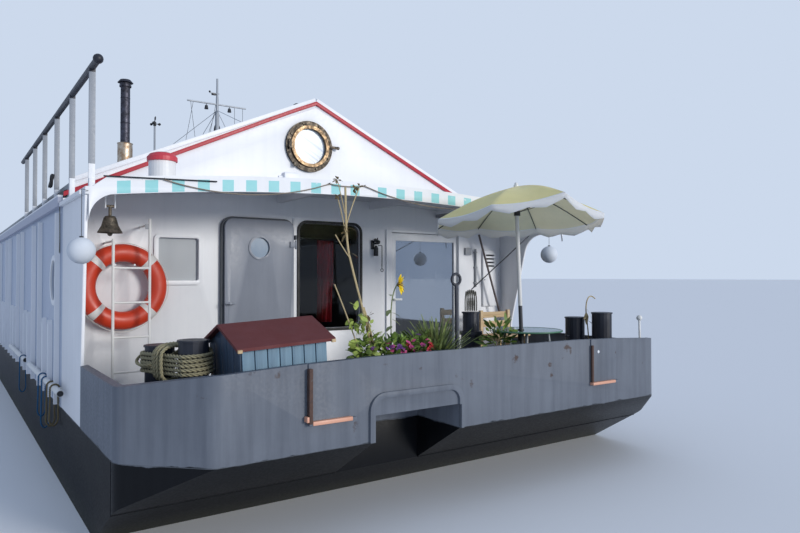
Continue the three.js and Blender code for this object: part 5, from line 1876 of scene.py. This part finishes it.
# %% Mast fittings and ridge vents
RIDGE = 4.235
SLOPE = 0.448
MAST_Y = -2.05
WIND = Vector((-1.270, -3.450, 0))
HALYARDS = [
    # x and z at the top, x at the roof
    (-0.40, 4.885, -0.30), (-0.36, 4.885, -0.52), (0.27, 4.885, 0.28), (0.40, 4.885, 0.40),
    (-0.02, 4.90, -0.16), (-0.02, 4.80, -0.22),
]
FOOT_FRAME = [(-0.045, 4.10), (-0.048, 4.50), (-0.030, 4.575), (0.0, 4.60), (0.030, 4.575), (0.048, 4.50),
              (0.045, 4.10)]


def roof_height(x):
    return RIDGE - SLOPE * abs(x)


def mast_bar(x0, z0, x1, z1, radius, sides, end_radius=None):
    return round_bar((x0, MAST_Y, z0), (x1, MAST_Y, z1), radius, sides, end_radius)


mast_parts = [
    mast_bar(0.000, 4.17, 0.000, 4.98, 0.026, 16, 0.020),
    mast_bar(0.000, 4.98, 0.000, 5.265, 0.019, 14, 0.004),
    mast_bar(-0.115, 5.055, 0.030, 5.055, 0.008, 10),
]
finished(mast_parts, "mast_pole", mast_paint)
fittings = [swept([(x, MAST_Y, z) for x, z in FOOT_FRAME], 0.011, sides=10)]
fittings += [mast_bar(x, 4.800, x, 4.855, 0.030, 18, 0.020) for x in (-0.165, 0.190)]
fittings += [mast_bar(x, 4.855, x, 4.885, 0.005, 8) for x in (-0.165, 0.190)]
fittings.append(block((-0.085, MAST_Y - 0.02, 5.025), (-0.020, MAST_Y + 0.02, 5.050), 0.004))
fittings.append(ball((-0.115, MAST_Y, 5.070), 0.016, segments=12))
finished(fittings, "mast_fittings", dark_metal)
lines = []
for top_x, top_z, foot_x in HALYARDS:
    ends = [(top_x, MAST_Y, top_z), (foot_x, MAST_Y, roof_height(foot_x) + 0.004)]
    lines.append(swept(ends, 0.0028, smooth=False, sides=6))
finished(lines, "halyards", dark_metal)
vane = [block(WIND + Vector((-0.010, -0.075, 4.196)), WIND + Vector((-0.004, -0.020, 4.236)), 0.001),
        round_bar(WIND + Vector((-0.007, -0.060, 4.190)), WIND + Vector((-0.007, 0.040, 4.192)), 0.003, 8)]
finished(vane, "wind_vane", dark_metal, body="wind_cups")
vents = [block((x - 0.035, -5.14, roof_height(x) - 0.01), (x + 0.035, -5.06, roof_height(x) + 0.052), 0.012)
         for x in (-0.165, 0.165)]
finished(vents, "ridge_vents", dark_metal)
print("halyards:", len(lines), "vents:", len(vents))

# %% [markdown]
# A white board covers the joint between the roof and the red boards on each slope. It is a block
# laid along x, then moved to the ridge and turned down to the roof's pitch.

# %% White trim over the red boards
ROOF_PITCH = math.atan(SLOPE)
TRIM_LONG = 2.452 / math.cos(ROOF_PITCH)


def trim_board(side):
    low, high = sorted((0.0, side * TRIM_LONG))
    piece = block((low, -5.238, -0.004), (high, -5.196, 0.040), 0.004)
    piece.location = up(RIDGE)
    piece.rotation_euler = (0, side * ROOF_PITCH, 0)
    return settled(piece)


finished([trim_board(-1), trim_board(1)], "verge_trim", white_paint)
print("trim boards: 2")

# %% [markdown]
# Small things on the deck and the porch: a leaning post by the kennel, a lamp on the porch roof, a
# knob on the gable, a hooked rod with a few leaves, and the hook for the taut line.

# %% Small fittings
ROD_Y = -7.330
HOOKED_ROD = [(2.021, 1.190), (2.021, 1.650), (1.990, 1.830), (1.965, 1.960), (1.985, 2.060), (2.030, 2.100),
              (2.075, 2.095), (2.115, 2.068)]
ROD_LEAVES = [
    # place, way, size
    ((1.975, ROD_Y, 1.93), (-0.5, -0.5, -0.8), 1.0), ((1.972, ROD_Y, 1.97), (0.5, -0.6, -0.6), 0.9),
    ((1.980, ROD_Y, 1.88), (-0.8, -0.4, 0.3), 0.8), ((1.985, ROD_Y, 1.85), (0.7, -0.5, -0.2), 0.8),
]
post = round_bar((-1.885, -7.300, 1.20), (-1.845, -7.300, 1.795), 0.016, 14)
finished(post, "leaning_post", ladder_paint)
roof_lamp = [block((-0.93, -6.42, 3.140), (-0.78, -6.34, 3.215), 0.012),
             round_bar((-0.97, -6.38, 3.17), (-0.93, -6.38, 3.175), 0.012, 12)]
finished(roof_lamp, "porch_lamp", white_paint)
knob = disc((-0.470, -5.236, 3.300), 0.030, 0.020, (0, 1, 0), 24, 0.004)
finished(knob, "gable_knob", door_plastic)
rod_parts = [swept([(x, ROD_Y, z) for x, z in HOOKED_ROD], 0.006),
             strewn(leaf(0.11, 0.045, 0.5), turned(ROD_LEAVES))]
finished(rod_parts, "hooked_rod", dry_stem)
line_hook = hoop((2.223, -6.535, 2.918), 0.014, 0.004, UPRIGHT, 18, 8)
finished(line_hook, "line_hook", dark_metal)

# %% The bounds of the finished scene
low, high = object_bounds()
